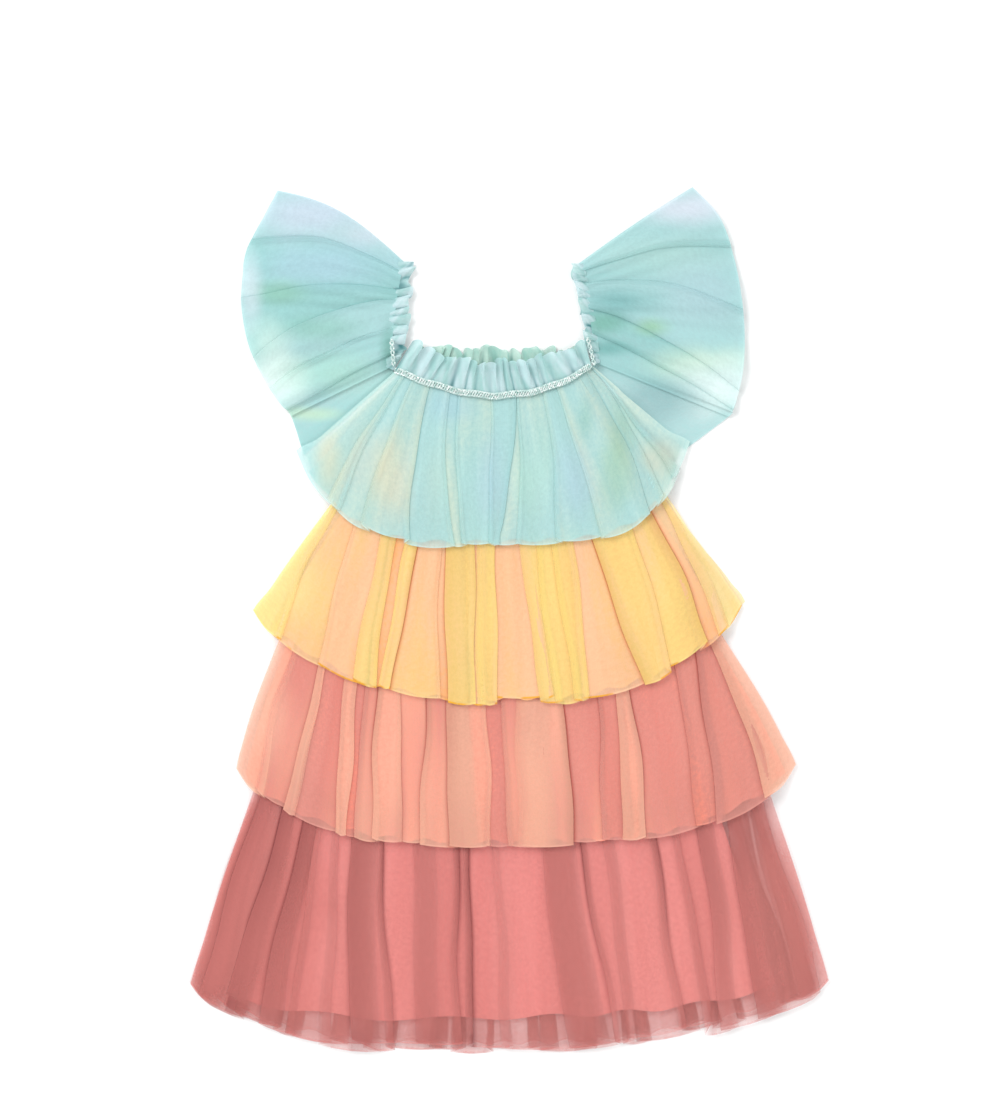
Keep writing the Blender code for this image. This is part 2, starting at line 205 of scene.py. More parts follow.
def pleat_path(bands, last, v, step, stray, drift, hem_width):
    """List the stops of the cloth's path at v, from the panel's left side to its right."""
    cloths = [(band.tone, band.short) for band in bands] + [last]
    counts = run_counts(bands, hem_width)
    turn = TURN / hem_width
    shade = turn / TURN * SHADE_WIDTH * mix(0.5, 1.0, v)
    path = []
    start = level = before = shaded = open_end = 0.0
    fade_in = (0.0, 1.0)
    for number, band in enumerate(bands):
        left, right = band_sides(band, v, stray * wander(number, v, drift))
        cloth, following = cloths[number:number + 2]
        # The slit sets this fold's painted shade: a darker colour beside its open side, along its
        # turn and inside it.
        weaker = mix(1.0, 0.5 + 0.3 * math.sin(3.0 * number), smooth(v))
        slit = band.slit ** SLIT_POWER * weaker
        shut, parted = (BESIDE * slit, TURNED * slit), (slit, INSIDE * slit)
        if band.over == "right":
            high, low, here, beyond = 2.0 * step, 0.0, shut, parted
        else:
            high, low, here, beyond = 0.0, 2.0 * step, parted, shut
        marks = run_marks(start, right, before, left, shade, turn)
        left_fade, right_fade = fold_fades(band)
        reach = max(min(right - left, turn / TURN * FADE_WIDTH), 2.0 * turn)
        add_run(path, marks, counts[number], (level, high), (open_end, shaded, 0.0, 0.0, *here),
                (fade_in, (right_fade, reach)), number, cloth)
        path.append(Stop(right, (high + step) / 2.0, number, 1.0, *cloth, TURNED * slit,
                         max(right_fade, EDGE_FADE)))
        edge = turn / max(right - left, 3.0 * turn)
        for share in (edge, 1.0 / 3.0, 2.0 / 3.0, 1.0 - edge):
            mixed = (mix(cloth[0], following[0], share), mix(cloth[1], following[1], share))
            fade = right_fade * max(0.0, 1.0 - 3.0 * share)
            fade += left_fade * max(0.0, 3.0 * share - 2.0)
            u = mix(right, left, share)
            path.append(Stop(u, step, number, 1.0, *mixed, INSIDE * slit, fade))
        path.append(Stop(left, (low + step) / 2.0, number + 1, 0.0, *following, TURNED * slit,
                         max(left_fade, EDGE_FADE)))
        start, level, before, fade_in = left, low, right, (left_fade, reach)
        shaded, open_end = beyond
    marks = run_marks(start, 1.0, before, 1.0 - 2.0 * turn, shade, turn)
    crease_shades = (open_end, shaded, 0.0, 0.0, 0.0, 0.0)
    add_run(path, marks, counts[-1], (level, 0.0), crease_shades, (fade_in, (0.0, 1.0)), len(bands), last)
    return path


# %% [markdown]
# ## From a net of points to a cloth
# A cloth is a thin sheet, so one surface is enough: rows of points joined into quads, smooth
# shaded. Each corner also gets a place on the flat cloth, in metres across and down. That is the
# UV map, and textures that read it follow the folds, as dye and weave do.


def add_object(name, data):
    """Put a mesh, a lamp or a camera into the scene as an object."""
    item = bpy.data.objects.new(name, data)
    bpy.context.scene.collection.objects.link(item)
    return item


def cloth_places(points):
    """Measure the flat cloth in mm: each column across, each row down, and each row's width."""
    across = np.linalg.norm(np.diff(points, axis=1), axis=2)
    widths = across.sum(axis=1)
    steps = across.mean(axis=0)
    steps *= widths.max() / steps.sum()
    down = np.linalg.norm(np.diff(points, axis=0), axis=2).mean(axis=1)
    return np.append(0.0, np.cumsum(steps)), np.append(0.0, np.cumsum(down)), widths


def sew(name, net, material, tones=None, crease_shades=None, fades=None):
    """Make a sheet from rows of points in mm, with a tone, a painted crease shade and a fade for
    each.
    """
    points = np.array([[tuple(point) for point in row] for row in net])
    rows, columns = points.shape[:2]
    corner = np.arange(rows * columns).reshape(rows, columns)
    quads = np.stack([corner[1:, :-1], corner[1:, 1:], corner[:-1, 1:], corner[:-1, :-1]], axis=-1)
    mesh = bpy.data.meshes.new(name)
    mesh.from_pydata((points.reshape(-1, 3) * MM).tolist(), [], quads.reshape(-1, 4).tolist())
    u, v, widths = cloth_places(points)
    places = np.stack(np.meshgrid(u * MM, v * MM), axis=-1).reshape(-1, 2)
    loops = np.empty(len(mesh.loops), dtype=np.int64)
    mesh.loops.foreach_get("vertex_index", loops)
    layer = mesh.uv_layers.new(name="Cloth")
    layer.data.foreach_set("uv", places[loops].astype(np.float32).ravel())
    plain = [[0.0] * columns] * rows
    marks = {"Tone": tones or [[0.5] * columns] * rows, "Crease": crease_shades or plain,
             "Fade": fades or plain, "Hem": plain[1:] + [[1.0] * columns]}
    for title, values in marks.items():
        layer = mesh.attributes.new(title, "FLOAT", "POINT")
        layer.data.foreach_set("value", np.array(values, dtype=np.float32).ravel())
    mesh.shade_smooth()
    mesh.materials.append(material)
    return add_object(name, mesh)


# %% [markdown]
# ## Finishes that more than one cloth shares
# Three effects come back on several cloths, so each is a node group, built once. Streaks are the
# fine gathers that run down the cloth: noise stretched along it. The net is the open weave, too
# fine to see thread by thread, so it is a soft hatching, with the small specks that come where
# one net lies over another. A wash is a spot of colour with an uneven edge, centred at a place on
# the dress: mostly watercolour dye, and in a few places painted shade in the hollows of folds.
# First come the helpers that add a node and fill in its inputs.

# %% Helpers that add nodes
def feed(tree, socket, value):
    """Set a socket to a value, or link it to the socket that gives it."""
    if isinstance(value, bpy.types.NodeSocket):
        tree.links.new(value, socket)
    else:
        socket.default_value = value


def add_node(tree, kind, inputs, **settings):
    """Add a node with its settings, and fill in its inputs, by name or by number."""
    node = tree.nodes.new(kind)
    for title, value in settings.items():
        setattr(node, title, value)
    for title, value in inputs.items():
        feed(tree, node.inputs[title], value)
    return node


def add_math(tree, operation, *values):
    """Add one Math node; its values are numbers or sockets."""
    return add_node(tree, "ShaderNodeMath", dict(enumerate(values)), operation=operation).outputs[0]


def add_range(tree, value, low, high, new_low=0.0, new_high=1.0):
    """Stretch a value from one range to another, with soft ends."""
    inputs = {"Value": value, "From Min": low, "From Max": high,
              "To Min": new_low, "To Max": new_high}
    return add_node(tree, "ShaderNodeMapRange", inputs, interpolation_type="SMOOTHSTEP").outputs[0]


def add_noise(tree, place, scale, detail, roughness=0.5):
    """Add a noise that reads a place."""
    inputs = {"Vector": place, "Scale": scale, "Detail": detail, "Roughness": roughness}
    return add_node(tree, "ShaderNodeTexNoise", inputs).outputs[0]


def new_group(name, numbers, outputs):
    """Start a group that reads a place and named numbers; give it, its inputs and its outputs."""
    group = bpy.data.node_groups.new(name, "ShaderNodeTree")
    face = group.interface
    face.new_socket("Place", in_out="INPUT", socket_type="NodeSocketVector")
    for title, value in numbers.items():
        face.new_socket(title, in_out="INPUT", socket_type="NodeSocketFloat").default_value = value
    for title in outputs:
        face.new_socket(title, in_out="OUTPUT", socket_type="NodeSocketFloat")
    given = group.nodes.new("NodeGroupInput").outputs
    parts = add_node(group, "ShaderNodeSeparateXYZ", {0: given["Place"]}).outputs
    return group, given, parts, group.nodes.new("NodeGroupOutput").inputs


# %% The group of streaks
STREAK_SPAN = (0.32, 0.68)


def make_streaks():
    """Noise stretched down the cloth: the fine gathers."""
    group, given, parts, made = new_group(
        "Gather streaks", {"Per Metre": 90.0, "Along": 3.0, "Seed": 0.0}, ["Streak"])
    across = add_math(group, "MULTIPLY", parts[0], given["Per Metre"])
    down = add_math(group, "MULTIPLY", parts[1], given["Along"])
    stretched = add_node(group, "ShaderNodeCombineXYZ", {0: across, 1: down, 2: given["Seed"]})
    noise = add_noise(group, stretched.outputs[0], 1.0, 3.0)
    feed(group, made["Streak"], add_range(group, noise, *STREAK_SPAN))
    return group


# %% The group of the net
SLANT = 1.7
SPECKS_PER_METRE = 260.0


def make_net():
    """The open weave of tulle: two crossing sets of soft lines, and the specks of its moire."""
    group, given, parts, made = new_group("Tulle net", {"Mesh Width": 0.0022}, ["Net", "Speckle"])
    waves = []
    for slant in (SLANT, -SLANT):
        slanted = add_math(group, "ADD", parts[0], add_math(group, "MULTIPLY", parts[1], slant))
        turns = add_math(group, "DIVIDE", slanted, given["Mesh Width"])
        waves.append(add_math(group, "SINE", add_math(group, "MULTIPLY", turns, 2.0 * math.pi)))
    crossed = add_math(group, "MULTIPLY", *waves)
    feed(group, made["Net"], add_range(group, crossed, -1.0, 1.0))
    specks = add_noise(group, given["Place"], SPECKS_PER_METRE, 4.0, 0.7)
    feed(group, made["Speckle"], add_range(group, specks, 0.3, 0.7))
    return group


# %% The group of a watercolour wash
WASH_BLOTS = 22.0
WASH_UNEVEN = 1.1
WASH_SPAN = (0.05, 1.35)


def make_wash():
    """A spot of colour with an uneven soft edge, centred on X and Y in metres: dye, and in some
    places painted shade.
    """
    group, given, parts, made = new_group(
        "Dye wash", {"Centre X": 0.0, "Centre Y": 0.0, "Radius X": 0.04, "Radius Y": 0.04},
        ["Wash"])
    squares = []
    for axis, part in zip("XY", parts):
        off = add_math(group, "SUBTRACT", part, given[f"Centre {axis}"])
        share = add_math(group, "DIVIDE", off, given[f"Radius {axis}"])
        squares.append(add_math(group, "MULTIPLY", share, share))
    distance = add_math(group, "SQRT", add_math(group, "ADD", *squares))
    noise = add_noise(group, given["Place"], WASH_BLOTS, 2.0)
    uneven = add_math(group, "MULTIPLY_ADD", noise, WASH_UNEVEN, -WASH_UNEVEN / 2.0)
    reach = add_math(group, "ADD", distance, uneven)
    feed(group, made["Wash"], add_range(group, reach, *WASH_SPAN, 1.0, 0.0))
    return group


STREAKS = make_streaks()
NET = make_net()
WASH = make_wash()
print("node groups:", [group.name for group in bpy.data.node_groups])

# %% [markdown]
# ## The tulle itself
# Each tulle is dyed from one colour to a second and a third, as the tone of each run says, from 0
# to 1 and 2, with washes over it; a few washes are painted shade in the hollows of folds. Its
# see-through look is the Alpha of the shader: one layer hides about a half of what is below, and
# three layers nearly all. Streaks make it denser in places, the net makes a faint hatching, and
# the cut edge of a hem is a thin denser line. Beside and inside the folds the colour goes darker
# with painted shade, and the net a little denser. Sheen gives the pale bloom that fine net shows
# at a slant.

# %% Helpers for materials
Wash = namedtuple("Wash", "x y radius_x radius_y colour strength denser", defaults=(0.0,))


def linear(colour):
    """Turn a colour as the eye reads it, 0 to 255, into the shader's own scale."""
    parts = [channel / 255.0 for channel in colour]
    parts = [p / 12.92 if p <= 0.04045 else ((p + 0.055) / 1.055) ** 2.4 for p in parts]
    return (*parts, 1.0)


def use_group(tree, group, **values):
    """Place a node group in a material, with its own values, and give its outputs."""
    inputs = {title.replace("_", " ").title(): value for title, value in values.items()}
    return add_node(tree, "ShaderNodeGroup", inputs, node_tree=group).outputs


def mix_colour(tree, factor, *colours):
    """Mix two colours by a mask; each is a tuple of 0 to 255 or a socket."""
    first, second = (linear(c) if isinstance(c, tuple) else c for c in colours)
    inputs = {"Factor": factor, "A": first, "B": second}
    return add_node(tree, "ShaderNodeMix", inputs, data_type="RGBA").outputs["Result"]


def add_sum(tree, parts, total):
    """Add up several masks, each times its own amount, and a constant."""
    for mask, amount in parts:
        total = add_math(tree, "MULTIPLY_ADD", mask, amount, total)
    return total


def read_attribute(tree, name):
    """Read one of the numbers that a sheet keeps for each of its points."""
    return add_node(tree, "ShaderNodeAttribute", {}, attribute_name=name).outputs["Fac"]


def new_material(name, **values):
    """Start a material with values for its shader; give it, its tree, shader and places."""
    material = bpy.data.materials.new(name)
    material.use_nodes = True
    tree = material.node_tree
    shader = tree.nodes["Principled BSDF"].inputs
    for title, value in values.items():
        shader[title.replace("_", " ").title().replace("Ior", "IOR")].default_value = value
    return material, tree, shader, tree.nodes.new("ShaderNodeTexCoord").outputs


def add_bump(tree, shader, height, strength, distance):
    """Raise the cloth a little where a mask is high."""
    inputs = {"Strength": strength, "Distance": distance, "Height": height}
    feed(tree, shader["Normal"], add_node(tree, "ShaderNodeBump", inputs).outputs[0])


# %% Make a tulle
STREAK_COVER = 0.14
NET_COVER = 0.03
HEM_COVER = 0.12
CREASE_COVER = 0.4
STREAK_DYE = 0.4
BRIGHT_SPAN = (1.15, 1.7)
HEM_SPAN = (0.55, 0.8)
PATCH_SPAN = (0.35, 0.6)
SPECKS = 0.22
FINE_SPECKS = 0.08


def make_tulle(name, colour, deep, alpha, dye_and_shade_washes=(), bright=None, crease=None, edge=None,
               per_metre=45.0, seed=0.0, specks=SPECKS):
    """Make a tulle dyed from one colour to two others, with washes of dye and of painted shade,
    painted shade at its creases, and its cut edge.
    """
    material, tree, shader, place = new_material(
        name, roughness=0.85, specular_ior_level=0.2, sheen_weight=0.2, sheen_roughness=0.5)
    streak = use_group(tree, STREAKS, place=place["UV"], per_metre=per_metre, seed=seed)["Streak"]
    net = use_group(tree, NET, place=place["UV"])
    dye = add_sum(tree, [(read_attribute(tree, "Tone"), 1.0), (streak, STREAK_DYE),
                         (net["Speckle"], specks)], -STREAK_DYE / 2.0 - specks / 2.0)
    tone = mix_colour(tree, add_range(tree, dye, 0.0, 1.0), colour, deep)
    if bright is not None:
        tone = mix_colour(tree, add_range(tree, dye, *BRIGHT_SPAN), tone, bright)
    denser = []
    for wash in dye_and_shade_washes:
        spot = use_group(
            tree, WASH, place=place["Object"], centre_x=wash.x * MM, centre_y=wash.y * MM,
            radius_x=wash.radius_x * MM, radius_y=wash.radius_y * MM)["Wash"]
        tone = mix_colour(tree, add_math(tree, "MULTIPLY", spot, wash.strength), tone, wash.colour)
        if wash.denser:
            denser.append((spot, wash.denser))
    # Painted shade: the net's colour goes darker towards the crease colour beside and inside its
    # folds, and the net is made a little denser there.
    shade = read_attribute(tree, "Crease")
    if crease is not None:
        tone = mix_colour(tree, shade, tone, crease)
    hem = add_range(tree, read_attribute(tree, "Hem"), *HEM_SPAN)
    if edge is not None:
        patches = add_range(tree, streak, *PATCH_SPAN)
        tone = mix_colour(tree, add_math(tree, "MULTIPLY", hem, patches), tone, edge)
    feed(tree, shader["Base Color"], tone)
    cover = add_sum(
        tree, [(streak, STREAK_COVER), (net["Net"], NET_COVER), (net["Speckle"], 0.4 * specks),
               (hem, HEM_COVER), (shade, CREASE_COVER)] + denser,
        alpha - STREAK_COVER / 2.0 - 0.2 * specks - 0.02)
    kept = add_math(tree, "SUBTRACT", 1.0, read_attribute(tree, "Fade"))
    feed(tree, shader["Alpha"], add_math(tree, "MULTIPLY", cover, kept))
    height = add_sum(tree, [(streak, 1.0), (net["Speckle"], 0.6 * specks)], 0.0)
    add_bump(tree, shader, height, 0.25, 0.0012)
    return material


# %% [markdown]
# ## The tiers
# Four tiers hang one over the other. Each panel runs from its gathers to its hem between two
# arcs. Its bands are in the table in millimetres across the dress, at the gathers and at the hem.
# A front panel starts on the lining, rises over the tier below, and slopes down at its sides to
# the back panel, so the levels are worked out as they are for the solids.

# %% The table of the tiers
Tier = namedtuple("Tier", "number gather hem bands last")

TIERS = (
    Tier(1, NECK_FRONT, Arc((-160.0, 122.0), (135.5, 129.0), 70.0, 3.8, 5.2), (
        Band(-80, -136, 2, 5, "left", 0.2, 0.0, 0.25),
        Band(-79, -131, 2, 5, "right", 1.3, 2.0, 0.2),
        Band(-72, -112, 2, 8, "left", 0.2, 0.0, 0.35), Band(-62, -79, 3, 5, "right", 1.0, 3.0, 0.6),
        Band(-46, -45, 2, 5, "right", 0.1, -1.0, 0.25), Band(-38, -36, 2, 5, "left", 0.8, 0.0, 0.3),
        Band(-14, -16, 2, 5, "left", 0.0, 1.5, 0.3), Band(2, -14, 3, 5, "right", 0.1, 0.5, 0.65),
        Band(5, 4, 2, 5, "left", 0.45, 0.5, 0.3), Band(24, 34, 3, 6, "left", 0.35, 0.0, 0.4),
        Band(34, 68, 2, 6, "left", 0.0, 1.5, 0.3), Band(50, 98, 6, 7, "right", 0.45, -0.5, 0.65),
        Band(57, 110, 3, 5, "right", 1.1, 2.0, 0.4),
        Band(60, 122, 1, 6, "left", 0.3, -1.5, 0.3)), (0.6, 3.0)),
    Tier(2, Arc((-123.5, 101.0), (106.0, 104.0), 20.0, 2.4, 3.0),
         Arc((-192.5, 2.0), (174.5, 5.5), 67.0, 2.4, 3.0), (
        Band(-124, -176, 4, 6, "right", 0.0, 0.0, 0.3),
        Band(-107, -143, 2, 4, "left", 0.9, -1.0, 0.4),
        Band(-90, -117, 6, 12, "left", 0.9, 0.0, 0.5),
        Band(-84, -106, 5, 7, "right", 0.1, 0.5, 0.6), Band(-71, -98, 3, 4, "left", 1.5, 3.0, 0.5),
        Band(-66, -92, 3, 3, "right", 0.1, 3.0, 1.0), Band(-51, -54, 2, 3, "right", 0.85, 2.5, 0.4),
        Band(-46, -46, 14, 17, "left", 1.4, 2.5, 0.9), Band(-31, -30, 5, 5, "right", 0.0, 0.0, 0.7),
        Band(-24, -24, 8, 9, "left", 0.9, 0.0, 0.4), Band(-13, -13, 3, 4, "right", 0.1, 0.0, 0.6),
        Band(4, 23, 7, 11, "left", 0.85, 5.0, 0.5), Band(16, 34, 5, 7, "left", 0.15, 0.5, 0.4),
        Band(27, 48, 5, 7, "left", 0.0, -1.0, 0.45), Band(38, 54, 5, 6, "right", 0.0, 0.0, 0.4),
        Band(53, 101, 5, 8, "left", 1.0, 0.5, 1.0), Band(80, 116, 4, 5, "right", 0.1, -1.5, 0.5),
        Band(91, 142, 5, 6, "right", 0.25, 3.5, 1.0),
        Band(104, 156, 4, 8, "left", 1.35, 0.5, 0.5)), (0.2, 0.0)),
    Tier(3, Arc((-165.5, 5.5), (146.5, 10.0), 47.0, 3.0, 3.0),
         Arc((-205.0, -116.5), (215.0, -113.5), 54.0, 3.4, 3.4), (
        Band(-156, -190, 4, 8, "left", 0.0, 0.0, 0.3),
        Band(-138, -169, 3, 5, "left", 0.9, 2.5, 0.7),
        Band(-136, -164, 2, 4, "right", 0.0, 0.0, 0.4),
        Band(-121, -130, 3, 4, "left", 0.9, 0.0, 0.6),
        Band(-114, -127, 3, 5, "right", 0.0, -1.0, 0.6),
        Band(-107, -116, 3, 5, "left", 1.2, 0.0, 0.6),
        Band(-97, -103, 3, 6, "left", 0.5, -1.0, 1.0), Band(-84, -85, 3, 5, "right", 0.2, 1.0, 0.6),
        Band(-62, -67, 3, 5, "left", 0.3, 2.0, 1.0), Band(-47, -45, 16, 22, "left", 0.5, 0.0, 0.9),
        Band(-22, -19, 4, 5, "right", 0.0, 0.0, 0.4), Band(-9, -1, 3, 5, "left", 1.0, 0.5, 0.5),
        Band(4, 6, 24, 30, "left", 0.7, 0.0, 0.5), Band(33, 43, 4, 5, "right", 0.1, 0.0, 1.0),
        Band(62, 69, 3, 4, "left", 0.8, 3.0, 0.7), Band(77, 84, 5, 9, "left", 1.25, 3.5, 0.7),
        Band(83, 97, 3, 5, "right", 0.0, 2.0, 1.0), Band(118, 139, 3, 6, "left", 1.0, 1.0, 0.6),
        Band(134, 154, 4, 7, "left", 1.25, 2.0, 1.0),
        Band(140, 190, 4, 8, "left", 0.9, -2.0, 0.7)), (0.0, -1.0)),
    Tier(4, Arc((-184.0, -104.0), (187.0, -104.0), 40.0, 3.2, 3.2),
         Arc((-239.5, -278.0), (239.5, -275.5), 46.0, 3.4, 2.3), (
        Band(-178, -233, 9, 16, "left", 0.7, 0.0, 0.8),
        Band(-163, -214, 9, 18, "left", 0.9, 1.0, 1.0),
        Band(-148, -188, 9, 18, "left", 1.0, 4.0, 1.0),
        Band(-138, -168, 4, 7, "left", 0.7, 1.0, 0.5),
        Band(-130, -143, 5, 10, "right", 0.5, 0.0, 0.5),
        Band(-117, -118, 18, 22, "left", 0.0, -3.0, 0.8),
        Band(-98, -93, 4, 7, "right", 0.9, 4.5, 1.0), Band(-72, -70, 16, 18, "left", 0.0, 5.5, 0.5),
        Band(-42, -41, 4, 6, "right", 0.9, 5.0, 1.0), Band(-33, -33, 4, 6, "right", 1.0, 5.5, 1.0),
        Band(-14, -6, 5, 9, "left", 0.0, 3.0, 0.3), Band(21, 45, 24, 31, "left", 0.1, 1.0, 0.5),
        Band(50, 79, 4, 5, "left", 0.8, 0.0, 1.0), Band(66, 88, 9, 8, "left", 0.1, 2.0, 0.4),
        Band(100, 126, 5, 7, "right", 0.0, 4.0, 1.0), Band(118, 146, 5, 6, "right", 0.1, 5.5, 0.6),
        Band(136, 158, 12, 14, "left", 0.4, -5.0, 0.8),
        Band(157, 186, 14, 22, "left", 0.0, -4.0, 0.7),
        Band(173, 211, 9, 22, "right", 0.8, -3.5, 0.6)), (0.5, 0.5)),
)
print("pleats on the front:", sum(len(tier.bands) for tier in TIERS))

# %% Levels over the surface
BACK_LEVEL = 0.6
LAP_RISE = 1.6
LINING_BACK_LEVEL = 3.7
LINING_FRONT_LEVEL = 5.1
FRONT_LEVEL = 6.6
SIDE_LEVEL = 2.2
HEM_RISE = 4.4
SIDE_SLOPE = 22.0
NECK_SIDE_SLOPE = 8.0
LAYER_STEP = 0.38
HEM_DROP = 3.4
RISE_SPAN = (0.35, 0.75)
LAP_SPAN = (0.45, 0.65)
DROP_SPAN = (0.94, 1.0)
SWINGS = {1: (0.0, 0.0), 2: (2.5, 5.0), 3: (4.0, 5.0), 4: (2.5, 2.5)}
SWING_REACH = 50.0
CORNER_LIFT = 6.0
CORNER_REACH = 13.0


def side_slope(tier, v):
    """Give how far in from its sides a front panel comes up to its full level."""
    if tier.number > 1:
        return SIDE_SLOPE
    return mix(NECK_SIDE_SLOPE, SIDE_SLOPE, smooth(v / 0.25))


def front_level(tier, v, from_side):
    """Give the level of a front panel, before its folds."""
    level = FRONT_LEVEL
    if tier.number < len(TIERS):
        level += HEM_RISE * ramp(v, *RISE_SPAN)
    else:
        level -= HEM_DROP * ramp(v, *DROP_SPAN)
    side = SIDE_LEVEL
    if tier.number > 1:
        side += LAP_RISE * (1.0 - ramp(v, *LAP_SPAN))
    return mix(side, level, smooth(from_side / side_slope(tier, v)))


def side_distance(top, end, v, x):
    """Give how far a place in X is from the nearer side of a panel between two arcs."""
    left = mix(top.left[0], end.left[0], v)
    right = mix(top.right[0], end.right[0], v)
    return min(x - left, right - x)


def soften_side(tier, x, y, v, side):
    """Let a panel's side swing outwards a little below its gathers, and round its corner."""
    swing = SWINGS[tier.number][0 if x < 0.0 else 1]
    near = max(0.0, 1.0 - side / SWING_REACH)
    corner = max(0.0, 1.0 - side / CORNER_REACH)
    x += math.copysign(1.0, x) * (swing * math.sin(math.pi * v ** 1.5) * near * near)
    return x, y + CORNER_LIFT * corner * corner * ramp(v, 0.75, 1.0)


def panel_place(top, end, u, v):
    """Give the place on the dress at the share u across a panel and v down it."""
    top_x, top_y = arc_point(top, u)
    end_x, end_y = arc_point(end, u)
    return mix(top_x, end_x, v), mix(top_y, end_y, v)


print("levels of back, linings and front in mm:", BACK_LEVEL, LINING_BACK_LEVEL,
      LINING_FRONT_LEVEL, FRONT_LEVEL)

# %% [markdown]
# ## Draw a front panel
# For each row, from the gathers to the hem, we take the path of the pleats, place it between the
# arcs, and lift it by its layer. Between two folds the net swells a little, in ripples that are
# small and tight at the gathers and wide at the hem, and its hem hangs in a shallow scallop. The
# real tiers are double: below the outer net hangs a second one, dyed deeper, a bit shorter and
# narrower. It is a single rippled layer, and its colour glows through where the outer net is thin.

# %% Shares, ripples and hems
PANEL_ROWS = 36
STRAY = 0.004
RIPPLE_LENGTH = 13.0
RIPPLE_HEIGHT = 0.35
SCALLOP = 1.3
SCALLOP_START = 12.0


def to_shares(tier):
    """Turn a tier's bands from millimetres into shares of its two arcs."""
    top, hem = arc_width(tier.gather), arc_width(tier.hem)
    return [
        band._replace(top=arc_share(tier.gather, band.top), hem=arc_share(tier.hem, band.hem),
                      top_width=band.top_width / top, hem_width=band.hem_width / hem)
        for band in tier.bands
    ]


def ripple(u, v, drift):
    """Give the swell of the cloth between its folds, from -1 to 1."""
    turns = u + 0.012 * math.sin(19.0 * u + drift) + 0.004 * math.sin(3.0 * v + 40.0 * u)
    return math.sin(2.0 * math.pi * turns)


def hem_shift(stop, v, side):
    """Give how far a point hangs above the hem's arc, in the scallop of its run."""
    scallop = SCALLOP * (math.sin(math.pi * stop.t) - 0.5)
    return v * v * (stop.short - scallop) * smooth(side / SCALLOP_START)


def calm(side):
    """Flatten the folds towards a panel's sides."""
    return mix(0.3, 1.0, smooth(side / SIDE_SLOPE))


def dye_tone(tier, stop, v):
    """Let a run's tone change a little on its way down; the first tier starts almost plain."""
    drift = 0.22 * math.sin(2.3 * stop.run + 3.4 * v)
    if tier.number > 1:
        return stop.tone + drift
    return mix(0.25, 0.5 * stop.tone, smooth(1.3 * v)) + drift


# %% The nets of a front panel and of its underlayer
OUTER_LIFT = 1.3
INNER_LIFT = 0.1


def front_net(tier, material):
    """Give a front panel's rows of points, its tulle, and each point's tone, painted crease shade
    and fade.
    """
    bands = to_shares(tier)
    hem_width = arc_width(tier.hem)
    ripples = hem_width / RIPPLE_LENGTH
    net, tones, crease_shades, fades = [], [], [], []
    for v in shares(PANEL_ROWS):
        stops = pleat_path(bands, tier.last, v, LAYER_STEP, STRAY, tier.number, hem_width)
        row = []
        for stop in stops:
            x, y = panel_place(tier.gather, tier.hem, stop.u, v)
            side = side_distance(tier.gather, tier.hem, v, x)
            swell = RIPPLE_HEIGHT * mix(0.35, 1.0, v)
            swell *= ripple(stop.u * ripples, v, tier.number + stop.run)
            x, y = soften_side(tier, x, y + hem_shift(stop, v, side), v, side)
            z = front_level(tier, v, side) + OUTER_LIFT + calm(side) * (stop.height + swell)
            row.append(Vector((x, y, z)))
        net.append(row)
        tones.append([dye_tone(tier, stop, v) for stop in stops])
        crease_shades.append([stop.crease for stop in stops])
        fades.append([stop.fade for stop in stops])
    return net, material, tones, crease_shades, fades


def inner_net(tier, inset, shorter):
    """Give the rows of points of the single underlayer, and the dye tone of each column."""
    hem_width = arc_width(tier.hem)
    columns = shares(round(hem_width / COLUMN_WIDTH))
    net = []
    for share in shares(PANEL_ROWS):
        v = share * (1.0 - shorter)
        row = []
        for column in columns:
            u = mix(inset / hem_width, 1.0 - inset / hem_width, column)
            x, y = panel_place(tier.gather, tier.hem, u, v)
            side = side_distance(tier.gather, tier.hem, v, x)
            turns = 0.8 * hem_width / RIPPLE_LENGTH * u
            y += 1.6 * v * v * math.sin(4.0 * turns + 2.0 * math.sin(5.0 * u + tier.number))
            x, y = soften_side(tier, x, y, v, side)
            swell = 0.3 * calm(side) * ripple(turns, v, tier.number)
            row.append(Vector((x, y, front_level(tier, v, side) + INNER_LIFT + swell)))
        net.append(row)
    last = len(columns) - 1
    tones = [0.5 + 0.5 * math.sin(37.0 * j / last + 3.0 * math.sin(9.0 * j / last))
             for j in range(last + 1)]
    return net, [tones] * len(net)


# %% Dye the tulles
Dye = namedtuple(
    "Dye", "light deep bright alpha inner inner_deep inner_alpha crease edge inset shorter")
